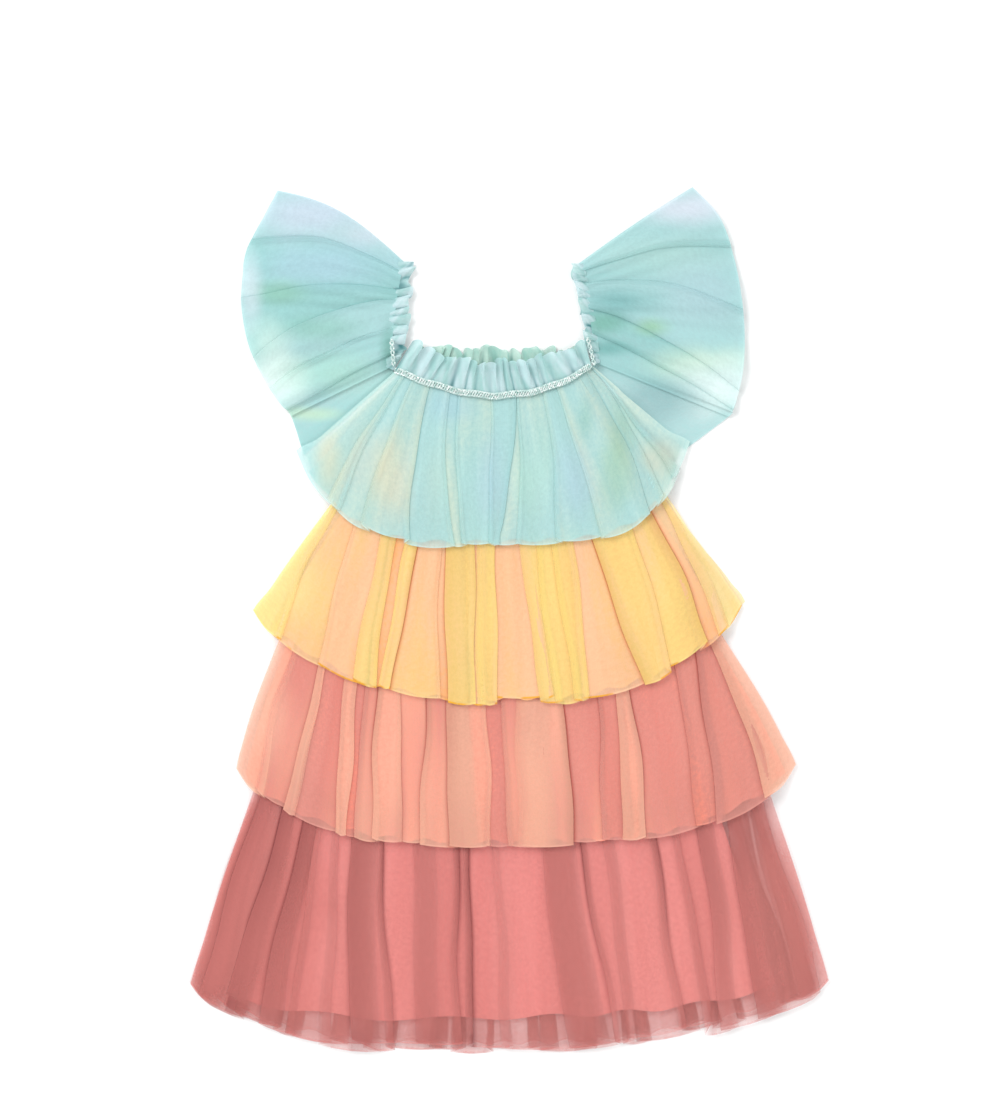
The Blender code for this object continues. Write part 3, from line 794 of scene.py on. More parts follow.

# The darkest colour of each dye is painted shade, mixed in beside and inside the folds.
DYES = {
    1: Dye((188, 228, 227), (218, 232, 214), (238, 232, 202), 0.60,
           (172, 214, 214), (162, 206, 198), 0.8, (112, 176, 180), None, 8.0, 0.03),
    2: Dye((255, 234, 144), (255, 212, 170), (255, 184, 112), 0.56,
           (255, 198, 134), (254, 188, 124), 0.75, (206, 110, 52), (240, 176, 40), 14.0, 0.03),
    3: Dye((255, 198, 170), (226, 156, 144), (255, 158, 136), 0.52,
           (255, 158, 138), (248, 142, 124), 0.75, (168, 68, 58), None, 7.0, 0.03),
    4: Dye((228, 143, 137), (220, 134, 128), (222, 136, 130), 0.27,
           (222, 138, 132), (214, 126, 120), 0.24, (112, 30, 36), None, 9.0, 0.035),
}
# The small deep green wash at 57, 150 on the first tier is painted shade in the hollow of a fold.
DYE_AND_SHADE_WASHES = {
    1: (Wash(-45, 160, 26, 16, (178, 216, 226), 0.6), Wash(-112, 118, 14, 34, (216, 226, 212), 0.6),
        Wash(-134, 118, 12, 30, (236, 228, 196), 0.7), Wash(-88, 104, 17, 40, (240, 230, 200), 0.8),
        Wash(-55, 108, 15, 36, (202, 230, 214), 0.5), Wash(-14, 106, 13, 38, (188, 218, 230), 0.6),
        Wash(18, 110, 15, 38, (196, 234, 220), 0.6), Wash(49, 104, 16, 34, (186, 214, 230), 0.6),
        Wash(80, 122, 15, 42, (174, 208, 176), 0.75), Wash(57, 150, 8, 18, (150, 200, 184), 0.6),
        Wash(112, 122, 20, 14, (224, 226, 206), 0.7)),
    2: (Wash(-165, 24, 26, 34, (255, 232, 160), 0.6), Wash(162, 28, 24, 34, (255, 230, 166), 0.6)),
    3: (Wash(-180, -70, 20, 50, (255, 206, 180), 0.5),
        Wash(112, -70, 22, 50, (236, 164, 154), 0.3)),
    4: (Wash(-205, -215, 62, 110, (212, 124, 118), 0.5, 0.3),
        Wash(212, -225, 46, 96, (226, 142, 134), 0.5, 0.16),
        Wash(-90, -318, 170, 20, (218, 132, 128), 0.3, 0.06)),
}
print("dyed tulles:", len(DYES))

# %% Sew the front panels
TULLES, fronts, unders = {}, {}, {}
for tier in TIERS:
    number, dye, dye_and_shade_washes = tier.number, DYES[tier.number], DYE_AND_SHADE_WASHES[tier.number]
    TULLES[number] = make_tulle(
        f"tulle_{number}", dye.light, dye.deep, dye.alpha, dye_and_shade_washes, dye.bright, dye.crease, dye.edge,
        seed=number, specks=FINE_SPECKS if number == 4 else SPECKS)
    under_tulle = make_tulle(f"under_tulle_{number}", dye.inner, dye.inner_deep, dye.inner_alpha,
                             dye_and_shade_washes[:1], seed=number + 7)
    fronts[number] = sew(f"tier_{number}_front_tulle", *front_net(tier, TULLES[number]))
    net, tones = inner_net(tier, dye.inset, dye.shorter)
    unders[number] = sew(f"tier_{number}_underlayer", net, under_tulle, tones)

# %% [markdown]
# ## The backs and the lining
# A back panel lies on the surface. Only its edges show from the front, but it is the whole view
# from behind, so it has pleats too, pressed flatter. The lining is satin: one smooth panel in
# front and one behind, with a few long soft folds.

# %% The net of a back panel
BACK_STEP = 0.22
BACK_FLOOR = 0.15
BACK_WIDTHS = 0.42
BACK_NECK_INSET = 7.0
LAP_START, LAP_END = 7.0, 19.0


def even_bands(count, width, seed):
    """Spread a number of bands over a panel, unevenly, with no two alike."""
    bands = []
    for k in range(count):
        place = (k + 0.5 + 0.28 * math.sin(2.3 * k + seed)) / count
        size = width / count * (1.0 + 0.45 * math.sin(1.7 * k + 2.0 * seed))
        over = "left" if math.sin(3.1 * k + seed) > 0.0 else "right"
        tone = 0.5 + 0.5 * math.sin(2.9 * k + 3.0 * seed)
        bands.append(Band(place - size / 3.0, place - size / 2.0, size / 2.5, size, over, tone,
                          2.0 * math.sin(4.0 * k)))
    return bands


def back_net(tier, above, material):
    """Give a back panel's rows of points, lapped over the hem of the tier above, and its marks."""
    gather, inset = (NECK_BACK, BACK_NECK_INSET) if tier.number == 1 else (tier.gather, 0.0)
    hem_width = arc_width(tier.hem)
    bands = even_bands(len(tier.bands) + 1, BACK_WIDTHS, tier.number)
    net = []
    for v in shares(PANEL_ROWS):
        row = []
        stops = pleat_path(bands, (0.5, 0.0), v, BACK_STEP, STRAY, tier.number, hem_width)[::-1]
        for stop in stops:
            x, y = panel_place(gather, tier.hem, stop.u, v)
            x += inset * (1.0 - 2.0 * stop.u)
            lap = 0.0
            if above is not None:
                lap = 1.0 - ramp(arc_y(above.hem, x) - y, LAP_START, LAP_END)
            side = side_distance(gather, tier.hem, v, x)
            x, y = soften_side(tier, x, y + hem_shift(stop, v, side), v, side)
            swell = 0.2 * (1.0 + ripple(stop.u * hem_width / RIPPLE_LENGTH, v, stop.run))
            row.append(Vector((x, y, BACK_FLOOR + LAP_RISE * lap + stop.height + swell)))
        net.append(row)
    # The back's folds lie flatter, so their painted crease shade is halved.
    marks = [(stop.tone, 0.5 * stop.crease, stop.fade) for stop in stops]
    return net, material, *([list(values)] * len(net) for values in zip(*marks))


backs = {}
above = None
for tier in TIERS:
    back = back_net(tier, above, TULLES[tier.number])
    backs[tier.number] = sew(f"tier_{tier.number}_back_tulle", *back)
    above = tier

# %% [markdown]
# ## Satin for the lining
# The lining is a plain woven satin, smooth enough to shine softly. Very fine threads across it
# and long shallow folds down it are all that it needs.

# %% Make the satin and its two panels
def make_satin(name, colour, deep, pale):
    """Make a soft satin with fine threads and long faint folds, paler at the top."""
    material, tree, shader, place = new_material(name, sheen_weight=0.2)
    folds = use_group(tree, STREAKS, place=place["UV"], per_metre=30.0, along=1.5)["Streak"]
    threads = use_group(tree, NET, place=place["UV"], mesh_width=0.0011)["Net"]
    yoke = use_group(tree, WASH, place=place["Object"], centre_x=-0.012, centre_y=0.16,
                     radius_x=0.14, radius_y=0.09)["Wash"]
    tone = mix_colour(tree, folds, colour, deep)
    feed(tree, shader["Base Color"], mix_colour(tree, yoke, tone, pale))
    feed(tree, shader["Roughness"], add_range(tree, threads, 0.0, 1.0, 0.38, 0.5))
    add_bump(tree, shader, folds, 0.3, 0.002)
    return material


LINING_ROWS = 40
LINING_COLUMNS = 120
NECK_GATHER = 14.0
LINING_FOLDS = 52.0
LINING_WAVE = 1.8


def lining_net(neck, level, depth, order):
    """Give the rows of points of a lining panel; order -1 turns its face to the floor."""
    net = []
    for v in shares(LINING_ROWS):
        row = []
        for u in shares(LINING_COLUMNS)[::order]:
            x, y = panel_place(neck, LINING_HEM, u, v)
            x += NECK_GATHER * (1.0 - 2.0 * u) * (1.0 - v)
            turn = LINING_FOLDS * u + 2.4 * math.sin(7.0 * u + v)
            y += LINING_WAVE * v ** 6 * math.sin(0.7 * turn + 1.0)
            row.append(Vector((x, y, level + depth * v * math.sin(turn))))
        net.append(row)
    return net


SATIN = make_satin("pink_satin", (242, 162, 156), (239, 152, 147), (216, 232, 224))
lining_front = sew("lining_front_satin", lining_net(NECK_FRONT, LINING_FRONT_LEVEL, 0.7, 1), SATIN)
lining_back = sew("lining_back_satin", lining_net(NECK_BACK, LINING_BACK_LEVEL, 0.28, -1), SATIN)

# %% [markdown]
# ## The flutter sleeves
# A sleeve is one wide cloth, gathered along the strap and folded over at the shoulder, so it has
# a front leaf and a back leaf. Its folds spread like a fan from the strap to the hem. The table
# gives where each share of the strap meets the hem, and how high the cloth stands there.

# %% The table of the sleeves
Sleeve = namedtuple(
    "Sleeve", "side shoulder corner tuck strap_bow top_bulge frill_top frill_low folds bands")
Fold = namedtuple("Fold", "share x y height")

SLEEVES = (
    Sleeve("left", (-79.0, 268.0), (-88.5, 189.0), (2.5, -5.0), -2.0, 11.0, 9.5, 13.0, (
        Fold(0.00, -173.5, 321.5, 0.0), Fold(0.12, -183.0, 303.0, 3.0),
        Fold(0.24, -196.5, 277.0, 1.0), Fold(0.36, -199.5, 256.0, 4.5),
        Fold(0.50, -200.5, 234.0, 1.0), Fold(0.64, -194.5, 204.0, 5.0),
        Fold(0.78, -182.0, 177.0, 1.5), Fold(0.90, -170.5, 160.5, 4.0),
        Fold(1.00, -163.5, 152.0, 1.0), Fold(1.12, -154.0, 123.0, 1.0)), (
        Band(0.10, 0.20, 0.02, 0.03, "left", 0.2, 0.0, 0.3),
        Band(0.27, 0.46, 0.04, 0.05, "left", 0.9, 0.0, 0.8),
        Band(0.36, 0.68, 0.04, 0.05, "left", 0.9, 0.0, 0.65),
        Band(0.62, 0.80, 0.03, 0.04, "left", 0.1, 0.0, 0.2),
        Band(0.84, 0.93, 0.04, 0.03, "right", 0.3, 0.0, 0.5))),
    Sleeve("right", (51.5, 266.5), (63.8, 192.5), (-3.0, -5.0), 2.0, 1.5, -7.0, -6.5, (
        Fold(0.00, 137.0, 324.0, 0.0), Fold(0.14, 157.0, 301.5, 2.5), Fold(0.28, 168.0, 271.5, 1.0),
        Fold(0.42, 173.5, 241.0, 5.0), Fold(0.56, 176.0, 211.5, 1.0), Fold(0.70, 174.5, 186.0, 4.5),
        Fold(0.84, 170.5, 166.5, 1.0), Fold(0.93, 167.0, 156.5, 3.5), Fold(1.00, 163.5, 151.5, 1.0),
        Fold(1.12, 131.5, 127.5, 1.0)),
        (Band(0.06, 0.22, 0.03, 0.03, "right", 0.2, 0.0, 0.3),
         Band(0.20, 0.46, 0.03, 0.03, "left", 0.5, 0.0, 0.3),
         Band(0.41, 0.76, 0.05, 0.04, "right", 0.1, 0.0, 0.75),
         Band(0.66, 0.90, 0.05, 0.03, "right", 0.8, 0.0, 0.5))),
)


def spline(before, start, end, after, t):
    """Give a number on the soft curve through four numbers, between the middle two."""
    slope_start = (end - before) / 2.0
    slope_end = (after - start) / 2.0
    t2, t3 = t * t, t * t * t
    value = (2 * t3 - 3 * t2 + 1) * start + (t3 - 2 * t2 + t) * slope_start
    return value + (-2 * t3 + 3 * t2) * end + (t3 - t2) * slope_end


def sleeve_fold(sleeve, share):
    """Give the hem point and the height of a sleeve at a share of its strap."""
    rows = sleeve.folds
    index = 0
    while index < len(rows) - 2 and share > rows[index + 1].share:
        index += 1
    start, end = rows[index], rows[index + 1]
    before = rows[max(index - 1, 0)]
    after = rows[min(index + 2, len(rows) - 1)]
    t = (share - start.share) / (end.share - start.share)
    x = spline(before.x, start.x, end.x, after.x, t)
    y = spline(before.y, start.y, end.y, after.y, t)
    return x, y, mix(start.height, end.height, smooth(t))


def strap_point(sleeve, share):
    """Give the place of the strap at a share; past the neck's corner it tucks under the tier."""
    along = min(share, 1.0)
    tucked = max(0.0, share - 1.0) / (sleeve.folds[-1].share - 1.0)
    x = mix(sleeve.shoulder[0], sleeve.corner[0], along) + tucked * sleeve.tuck[0]
    y = mix(sleeve.shoulder[1], sleeve.corner[1], along) + tucked * sleeve.tuck[1]
    return x + sleeve.strap_bow * math.sin(math.pi * along), y


print("sleeves:", [sleeve.side for sleeve in SLEEVES])

# %% The two leaves of a sleeve
SLEEVE_ROWS = 30
SLEEVE_HEM = 230.0
SLEEVE_STEP = 0.7
SLEEVE_STRAY = 0.008
LEAF_LEVEL = BACK_LEVEL + 2.2
BACK_LEAF_LEVEL = 0.35
BACK_LEAF_COLUMNS = 80
FRONT_RIPPLES = 14.0
BACK_RIPPLES = 17.0


def leaf_point(sleeve, share, v, level, lift):
    """Give a point of a leaf: v is 0 on the strap and 1 at the hem."""
    strap_x, strap_y = strap_point(sleeve, share)
    hem_x, hem_y, height = sleeve_fold(sleeve, share)
    bulge = sleeve.top_bulge * math.sin(math.pi * v) * max(0.0, 1.0 - 2.2 * min(share, 1.0))
    rise = mix(0.25, 1.0, math.sin(0.6 * math.pi * v))
    y = mix(strap_y, hem_y, v) + bulge
    return Vector((mix(strap_x, hem_x, v), y, level + lift * rise * height))


def front_leaf(sleeve, material):
    """Give the rows of the front leaf, its tulle, and each point's tone, painted crease shade and
    fade.
    """
    order = 1 if sleeve.side == "right" else -1
    net, tones, crease_shades, fades = [], [], [], []
    for v in shares(SLEEVE_ROWS):
        stops = pleat_path(
            sleeve.bands, (0.5, 0.0), v, SLEEVE_STEP, SLEEVE_STRAY, 1, SLEEVE_HEM)[::order]
        row = []
        for stop in stops:
            point = leaf_point(sleeve, stop.u, v, LEAF_LEVEL, 1.0)
            point.z += stop.height + 0.4 * ripple(stop.u * FRONT_RIPPLES, v, stop.run)
            row.append(point)
        net.append(row)
        tones.append([stop.tone for stop in stops])
        # The painted shade at the sleeve's folds fades towards the hem.
        crease_shades.append([stop.crease * (1.0 - 0.75 * smooth(v)) for stop in stops])
        fades.append([stop.fade for stop in stops])
    return net, material, tones, crease_shades, fades


def back_leaf(sleeve):
    """Give the rows of the back leaf, from the shoulder's fold to the edge under the tier."""
    order = 1 if sleeve.side == "left" else -1
    last = sleeve.folds[-1].share
    net = []
    for v in shares(SLEEVE_ROWS):
        row = []
        for j in range(BACK_LEAF_COLUMNS + 1)[::order]:
            share = last * j / BACK_LEAF_COLUMNS
            point = leaf_point(sleeve, share, v, BACK_LEAF_LEVEL, 0.0)
            point.z += 0.3 * (1.0 + ripple(share * BACK_RIPPLES, v, 2.0))
            row.append(point)
        net.append(row)
    return net


# The deep green and teal washes, at -172, 244; -145, 218; -90, 200; 84, 238; 70, 222; 106, 219;
# 104, 163 and 74, 203, are painted shade beside, below and inside the sleeves' folds.
SLEEVE_DYE_AND_SHADE_WASHES = (
    Wash(-150, 303, 60, 24, (206, 220, 234), 0.85), Wash(-105, 288, 36, 14, (210, 222, 232), 0.7),
    Wash(-135, 266, 60, 22, (178, 212, 226), 0.7), Wash(-172, 244, 26, 10, (154, 206, 186), 0.7),
    Wash(-145, 218, 36, 12, (148, 200, 188), 0.7), Wash(-194, 244, 10, 34, (226, 236, 244), 0.6),
    Wash(-180, 205, 20, 24, (212, 238, 230), 0.7), Wash(-176, 178, 30, 22, (232, 250, 244), 0.85),
    Wash(-130, 184, 40, 18, (176, 222, 206), 0.6), Wash(-150, 154, 24, 6, (198, 230, 196), 0.7),
    Wash(-90, 200, 8, 22, (112, 170, 158), 0.7), Wash(132, 308, 40, 16, (224, 228, 240), 0.8),
    Wash(120, 272, 50, 18, (184, 222, 216), 0.6), Wash(146, 244, 44, 30, (182, 214, 220), 0.7),
    Wash(84, 238, 34, 14, (126, 182, 182), 0.8), Wash(70, 222, 22, 9, (128, 186, 172), 0.8),
    Wash(106, 219, 16, 8, (160, 206, 172), 0.8), Wash(146, 192, 44, 16, (212, 238, 218), 0.8),
    Wash(158, 174, 36, 26, (236, 252, 250), 0.95), Wash(104, 163, 44, 18, (138, 184, 186), 0.9),
    Wash(74, 203, 20, 7, (112, 176, 172), 0.7))
# The dark crease colour of each of these tulles is painted shade at its folds and in the frills'
# troughs.
SLEEVE_TULLE = make_tulle("sleeve_tulle", (176, 216, 217), (156, 206, 204), 0.74, SLEEVE_DYE_AND_SHADE_WASHES,
                          crease=(112, 172, 170), per_metre=40.0)
FRILL_TULLE = make_tulle("frill_tulle", (202, 228, 232), (166, 208, 206), 0.78,
                         crease=(72, 124, 128), per_metre=120.0, seed=2.0)
leaves = []
for sleeve in SLEEVES:
    leaves.append(sew(f"sleeve_{sleeve.side}_front_leaf", *front_leaf(sleeve, SLEEVE_TULLE)))
    leaves.append(sew(f"sleeve_{sleeve.side}_back_leaf", back_leaf(sleeve), SLEEVE_TULLE))

# %% [markdown]
# ## The ruffled edges
# Above the trim the first tier goes on as a short frill, drawn up so tightly that each fold rolls
# over like a breaking wave. The same frill runs along each strap. A wave that leans is easy to
# make: as a point goes up and down on its wave, it also moves to and fro along the edge. The
# trough below each wave is darkened with painted shade.

# %% Waves and crumples, and a net with marks
FRILL_ROWS = 12


def frill_wave(u, folds, seed):
    """Give the turn of a frill's wave at the share u, in radians, with folds of uneven width."""
    uneven = 0.5 * math.sin(9.0 * u + seed) + 0.22 * math.sin(31.0 * u + 2.0 * seed)
    return 2.0 * math.pi * (folds * u + uneven)


def crumple(place, seed):
    """Give an uneven number, about -1 to 1, that never repeats along an edge."""
    value = math.sin(place + seed) + 0.7 * math.sin(2.37 * place + 2.1 * seed)
    return (value + 0.5 * math.sin(5.11 * place - seed)) / 1.7


def weave(columns, point, order, material):
    """Ask a function for each point of a frill, with its tone and its painted crease shade, row by
    row.
    """
    table = [[point(u, v) for u in shares(columns)[::order]] for v in shares(FRILL_ROWS)]
    net, tones, crease_shades = ([[item[k] for item in row] for row in table] for k in range(3))
    return net, material, tones, crease_shades


# %% Frills at the neck
FRILL_FRONT = Arc((-73.0, 206.0), (53.0, 208.0), 15.0, 2.0, 2.6)
FRILL_BACK = Arc((-71.0, 204.0), (52.0, 203.0), 1.0, 2.0, 2.0)
NECK_FOLD_COLUMNS = 14
NECK_LEAN = 2.3
NECK_DRIFT = 4.0
NECK_SCALLOP = 1.4
NECK_RAGGED = 2.6


def neck_frill_net(root, edge, folds, height, level, seed, material):
    """Give a frill that stands up from a neck line: its rows of points, its tulle and its marks."""
    def point(u, v):
        turn = frill_wave(u, folds, seed)
        strength = 0.75 + 0.25 * math.sin(5.0 * u * folds / 3.0 + seed)
        x, y = panel_place(root, edge, u, v)
        x += NECK_LEAN * v * strength * math.cos(turn + 0.6 * math.sin(17.0 * u))
        x += NECK_DRIFT * v * math.sin(6.0 * u + seed)
        y += v * (-NECK_SCALLOP * math.sin(turn) + NECK_RAGGED * crumple(24.0 * u, seed))
        rise = mix(0.5, height, v ** 0.8)
        z = level + rise * strength * (0.5 + 0.5 * math.sin(turn))
        # Painted shade: the frill goes darker in the trough below each rolled fold, less towards
        # its edge.
        trough = max(0.0, -math.sin(turn + 0.9)) ** 4
        crease = trough * (0.35 + 0.65 * abs(crumple(13.0 * u, seed))) * (1.0 - 0.8 * v)
        return Vector((x, y, z)), 0.5 + 0.5 * crumple(31.0 * u + 2.0 * v, seed), crease

    return weave(folds * NECK_FOLD_COLUMNS, point, 1, material)


# Its dark crease colour is painted shade for the troughs of the back frill.
BACK_FRILL_TULLE = make_tulle("back_frill_tulle", (190, 222, 210), (150, 198, 186), 0.82,
                              crease=(70, 116, 112), per_metre=120.0, seed=5.0)
frill_front = sew("neck_frill_front", *neck_frill_net(
    NECK_FRONT, FRILL_FRONT, 17, 5.0, FRONT_LEVEL + 0.9, 0.7, FRILL_TULLE))
frill_back = sew("neck_frill_back", *neck_frill_net(
    NECK_BACK, FRILL_BACK, 14, 2.4, 1.4, 2.9, BACK_FRILL_TULLE))

# %% Frills on the straps
STRAP_RUFFLES = 9
STRAP_FOLD_COLUMNS = 16
STRAP_SEAM = 4.0
STRAP_LEAN = 2.6
STRAP_RAGGED = 2.4
STRAP_RISE = (0.8, 4.2)


def strap_frill_net(sleeve, material):
    """Give the frill along a strap: its rows of points, its tulle and its marks."""
    seed, order = (1.6, 1) if sleeve.side == "left" else (4.1, -1)

    def point(share, v):
        turn = frill_wave(share, STRAP_RUFFLES, seed)
        x, y = strap_point(sleeve, share)
        width = mix(sleeve.frill_top, sleeve.frill_low, share)
        width *= 1.0 - 0.75 * ramp(share, 0.8, 1.0)
        reach = 0.86 + 0.14 * math.sin(turn + 0.8) + 0.16 * crumple(22.0 * share, seed)
        x += mix(-math.copysign(STRAP_SEAM, width), width * reach, v)
        sway = STRAP_LEAN * math.cos(turn) + STRAP_RAGGED * crumple(15.0 * share, seed)
        y += v * sway * math.sin(math.pi * min(share * 6.0, 0.5))
        rise = mix(*STRAP_RISE, math.sin(0.6 * math.pi * v))
        z = LEAF_LEVEL + 0.5 + rise * (0.5 + 0.5 * math.sin(turn + 1.5 * v))
        # Painted shade: the frill goes darker in the trough below each rolled fold.
        trough = max(0.0, -math.sin(turn + 1.5 * v)) ** 3
        crease = trough * (0.3 + 0.7 * abs(crumple(9.0 * share + 2.0 * v, seed)))
        return Vector((x, y, z)), 0.5 + 0.6 * crumple(19.0 * share + 3.0 * v, seed), crease

    return weave(STRAP_RUFFLES * STRAP_FOLD_COLUMNS, point, order, material)


strap_frills = [
    sew(f"strap_frill_{sleeve.side}", *strap_frill_net(sleeve, FRILL_TULLE)) for sleeve in SLEEVES
]

# %% [markdown]
# ## The glitter trim
# A narrow ribbon covers the gathers at the neck, and on it lie three strands of tiny faceted
# beads, twisted round each other, with a short tail of two strands up each strap. Beads that
# follow a line are work for Geometry Nodes: the tree turns the strands into curves, puts a point
# on them every bead, turns each bead its own way, and makes one real mesh of it all.

# %% The ribbon and the line of the strands
RIBBON_WIDTH = 5.4
RIBBON_COLUMNS = 150
TRIM_LEVEL = FRONT_LEVEL + 3.2
TRIM_SIDE_LEVEL = SIDE_LEVEL + 3.6
STRANDS = (0.0, 2.1, 4.2)
STRAND_TURNS = 163.0
STRAND_STEPS = 600
TAILS = (((-86.6, 190.0), (-88.0, 209.0)), ((63.4, 190.5), (58.4, 210.5)))
TAIL_LEVEL = SIDE_LEVEL + 6.2
TAIL_TURNS = 16.0
TAIL_STEPS = 60


def trim_line(share, across):
    """Give a point on the trim's line, a number of millimetres above or below its middle."""
    x, y = arc_point(NECK_FRONT, share)
    side = smooth(side_distance(NECK_FRONT, NECK_FRONT, 0.0, x) / NECK_SIDE_SLOPE)
    y += across + 0.5 * math.sin(34.0 * share)
    return Vector((x, y, mix(TRIM_SIDE_LEVEL, TRIM_LEVEL, side)))


def ribbon_net():
    """Give the rows of points of the ribbon under the beads."""
    return [[trim_line(share, RIBBON_WIDTH * across) for share in shares(RIBBON_COLUMNS)]
            for across in (-0.5, -0.25, 0.0, 0.25, 0.5)]


def trim_strand(strand):
    """Give the points of a strand that winds along the ribbon."""
    line = []
    for j in range(STRAND_STEPS + 1):
        turn = STRAND_TURNS * j / STRAND_STEPS + strand
        rise = Vector((0.0, 0.0, 0.9 + 0.5 * math.cos(turn)))
        line.append(trim_line(j / STRAND_STEPS, 2.0 * math.sin(turn)) + rise)
    return line


def tail_strand(foot, tip, strand):
    """Give the points of a strand that winds up a strap."""
    line = []
    for share in shares(TAIL_STEPS):
        turn = TAIL_TURNS * share + strand
        x = mix(foot[0], tip[0], share) + 1.1 * math.sin(turn)
        line.append(Vector((x, mix(foot[1], tip[1], share), TAIL_LEVEL + 0.3 * math.cos(turn))))
    return line


def strand_lines():
    """Make an object of the twisted lines along the trim, with a short tail up each strap."""
    lines = [trim_strand(strand) for strand in STRANDS]
    lines += [tail_strand(*tail, strand) for tail in TAILS for strand in (0.0, math.pi)]
    points, edges = [], []
    for line in lines:
        first = len(points)
        points += [tuple(point * MM) for point in line]
        edges += [(k, k + 1) for k in range(first, len(points) - 1)]
    mesh = bpy.data.meshes.new("strands")
    mesh.from_pydata(points, edges, [])
    return add_object("strands", mesh)


# %% Glitter
FACETS_PER_METRE = 900.0


def make_glitter(name, colour, deep):
    """Make small facets of silver and mint foil."""
    material, tree, shader, place = new_material(name, metallic=0.15)
    facets = add_node(tree, "ShaderNodeTexVoronoi",
                      {"Scale": FACETS_PER_METRE, "Vector": place["Object"]})
    value = add_node(tree, "ShaderNodeSeparateColor", {0: facets.outputs["Color"]}).outputs
    feed(tree, shader["Base Color"], mix_colour(tree, value[0], colour, deep))
    feed(tree, shader["Roughness"], add_range(tree, value[1], 0.0, 1.0, 0.15, 0.5))
    return material


GLITTER = make_glitter("glitter", (250, 253, 252), (172, 208, 202))
RIBBON = make_tulle("ribbon_net", (222, 238, 235), (176, 210, 204), 0.92, per_metre=220.0)
print("finishes of the trim:", GLITTER.name, "and", RIBBON.name)

# %% The tree that threads the beads
BEAD_TURNS = ((0.0, 0.0, 0.0), (6.28, 6.28, 6.28))
BEAD_SIZES = ((0.75, 0.75, 0.6), (1.25, 1.25, 1.0))


def make_bead_tree():
    """Build the node tree: a line in, a row of little beads out."""
    tree = bpy.data.node_groups.new("Thread beads", "GeometryNodeTree")
    face = tree.interface
    face.new_socket("Geometry", in_out="INPUT", socket_type="NodeSocketGeometry")
    for title, kind, value in (
            ("Spacing", "Float", 0.0012), ("Bead Radius", "Float", 0.00085), ("Seed", "Int", 5)):
        socket = face.new_socket(title, in_out="INPUT", socket_type=f"NodeSocket{kind}")
        socket.default_value = value
    face.new_socket("Material", in_out="INPUT", socket_type="NodeSocketMaterial")
    face.new_socket("Geometry", in_out="OUTPUT", socket_type="NodeSocketGeometry")
    given = tree.nodes.new("NodeGroupInput").outputs
    curve = add_node(tree, "GeometryNodeMeshToCurve", {0: given["Geometry"]})
    points = add_node(tree, "GeometryNodeResampleCurve",
                      {"Curve": curve.outputs[0], "Length": given["Spacing"]}, mode="LENGTH")
    bead = add_node(tree, "GeometryNodeMeshIcoSphere",
                    {"Radius": given["Bead Radius"], "Subdivisions": 1})
    turn, size = (
        add_node(tree, "FunctionNodeRandomValue", {"Seed": given["Seed"], "Min": low, "Max": high},
                 data_type="FLOAT_VECTOR").outputs["Value"]
        for low, high in (BEAD_TURNS, BEAD_SIZES))
    beads = add_node(tree, "GeometryNodeInstanceOnPoints", {
        "Points": points.outputs[0], "Instance": bead.outputs["Mesh"],
        "Rotation": turn, "Scale": size})
    whole = add_node(tree, "GeometryNodeRealizeInstances", {0: beads.outputs[0]})
    finish = add_node(tree, "GeometryNodeSetMaterial",
                      {"Geometry": whole.outputs[0], "Material": given["Material"]})
    feed(tree, tree.nodes.new("NodeGroupOutput").inputs[0], finish.outputs[0])
    return tree


def run_tree(lines, tree, name, **values):
    """Run a geometry node tree on an object and keep the result as a plain mesh object."""
    modifier = lines.modifiers.new("nodes", "NODES")
    modifier.node_group = tree
    for item in tree.interface.items_tree:
        title = item.name.replace(" ", "_").lower()
        if item.in_out == "INPUT" and title in values:
            modifier[item.identifier] = values[title]
    bpy.context.view_layer.update()
    seen = lines.evaluated_get(bpy.context.evaluated_depsgraph_get())
    mesh = bpy.data.meshes.new_from_object(seen)
    mesh.name = name
    piece = add_object(name, mesh)
    bpy.data.objects.remove(lines, do_unlink=True)
    print(name, "has", len(mesh.polygons), "faces")
    return piece


ribbon = sew("trim_ribbon", ribbon_net(), RIBBON)
beads = run_tree(strand_lines(), make_bead_tree(), "trim_beads", material=GLITTER)

# %% [markdown]
# ## Floor, light and camera
# The dress lies on a white studio table. A large soft lamp from the upper left shapes the folds
# and a white sky fills the shadows. The camera looks straight down.

# %% Floor
FLOOR_REACH = 2.5
FLOOR_LEVEL = -0.0005


def make_floor():
    """Make a pale studio floor, just under the cloth."""
    corners = [(x * FLOOR_REACH, y * FLOOR_REACH, FLOOR_LEVEL)
               for x, y in ((-1, -1), (1, -1), (1, 1), (-1, 1))]
    mesh = bpy.data.meshes.new("floor")
    mesh.from_pydata(corners, [], [(0, 1, 2, 3)])
    mesh.materials.append(new_material(
        "studio_white", base_color=(0.93, 0.93, 0.93, 1.0), roughness=0.9,
        specular_ior_level=0.1)[0])
    return add_object("floor", mesh)


floor = make_floor()
print("the floor is", 2.0 * FLOOR_REACH, "m wide")

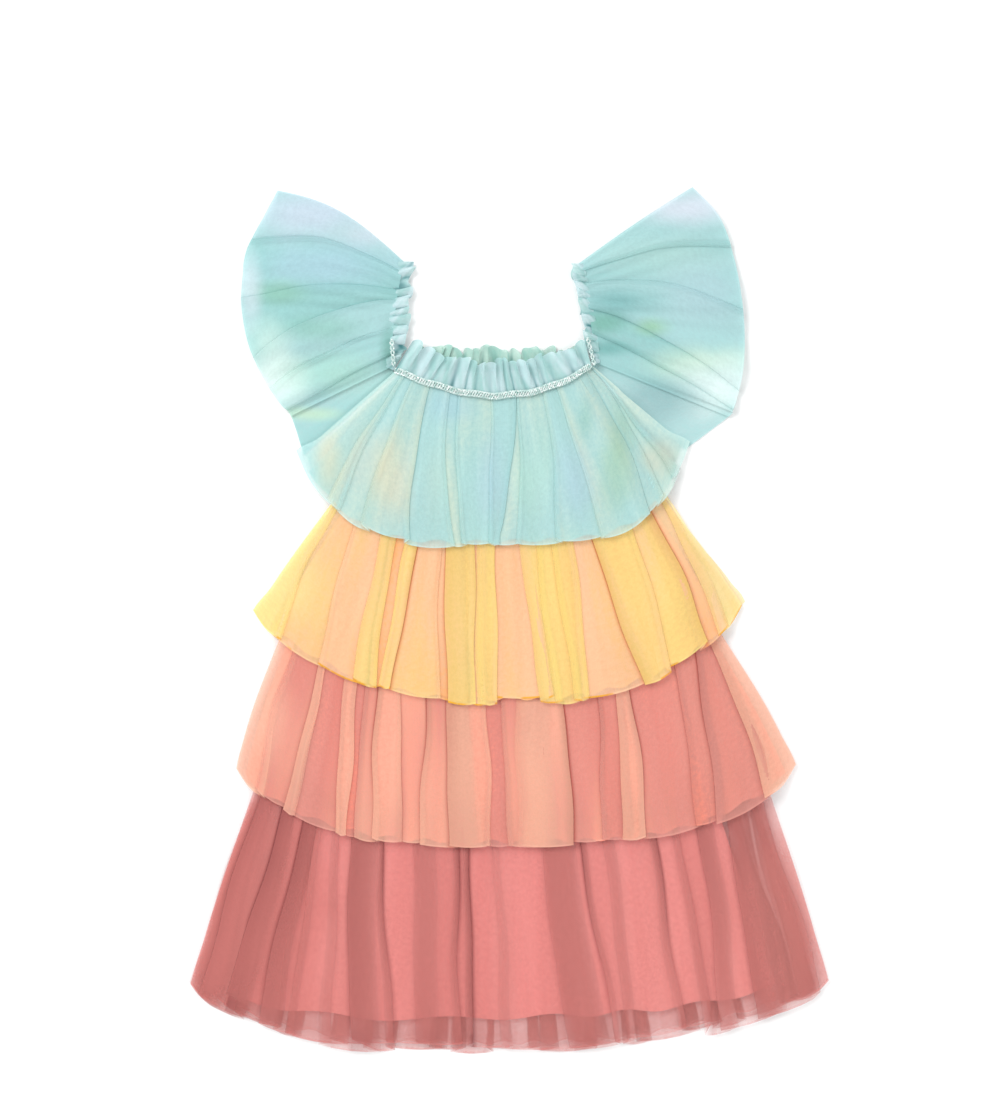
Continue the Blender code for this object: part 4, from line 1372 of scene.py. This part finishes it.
# %% Light
def add_lamp(name, place, size, power):
    """Add a soft area lamp that looks at the middle of the dress."""
    data = bpy.data.lights.new(name, "AREA")
    data.shape = "DISK"
    data.size = size
    data.energy = power
    lamp = add_object(name, data)
    lamp.location = place
    lamp.rotation_euler = (-Vector(place)).to_track_quat("-Z", "Y").to_euler()


add_lamp("key_lamp", (-1.3, 1.2, 2.1), 1.4, 46.0)
add_lamp("fill_lamp", (1.6, -0.6, 2.2), 1.6, 18.0)

world = bpy.data.worlds.new("studio")
bpy.context.scene.world = world
world.use_nodes = True
sky = world.node_tree.nodes["Background"].inputs
sky["Color"].default_value = (1.0, 1.0, 1.0, 1.0)
sky["Strength"].default_value = 0.67
bpy.context.scene.view_settings.view_transform = "Standard"
print("lamps:", [item.name for item in bpy.data.objects if item.type == "LIGHT"])

# %% Camera
LENS = 85.0
SENSOR = 36.0
FRAME_HEIGHT = 0.825
CAMERA_X, CAMERA_Y = -0.0071, 0.0521
camera_data = bpy.data.cameras.new("camera")
camera_data.lens = LENS
camera_data.sensor_width = SENSOR
camera = add_object("camera", camera_data)
camera.location = (CAMERA_X, CAMERA_Y, FRAME_HEIGHT * LENS / SENSOR)
bpy.context.scene.camera = camera
print("the camera is", round(camera.location.z, 3), "m over the table")

# %% [markdown]
# ## Attach the pieces
# Every piece rides on the dress's one body, and a cloth that stands for a solid hides it.

SLOTS = {1: "mint_tulle", 2: "yellow_tulle", 3: "peach_tulle", 4: "rose_tulle"}


def declare(piece, nodes=()):
    """Let a piece ride, and hide the solids it stands for."""
    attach(piece, "root")
    if nodes:
        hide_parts(*nodes)


for number, slot in SLOTS.items():
    declare(backs[number], [f"tier_{number}_back"])
    declare(unders[number])
    declare(fronts[number], [f"tier_{number}_front"])
declare(lining_back, ["lining_back"])
declare(lining_front, ["lining_front"])
for leaf in leaves:
    side = leaf.name.split("_")[1]
    declare(leaf, [f"sleeve_{side}"])

declare(frill_front)
declare(frill_back)
for frill in strap_frills:
    side = frill.name.split("_")[2]
    declare(frill)
for piece in (ribbon, beads):
    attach(piece, "root")
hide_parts("neck_trim")
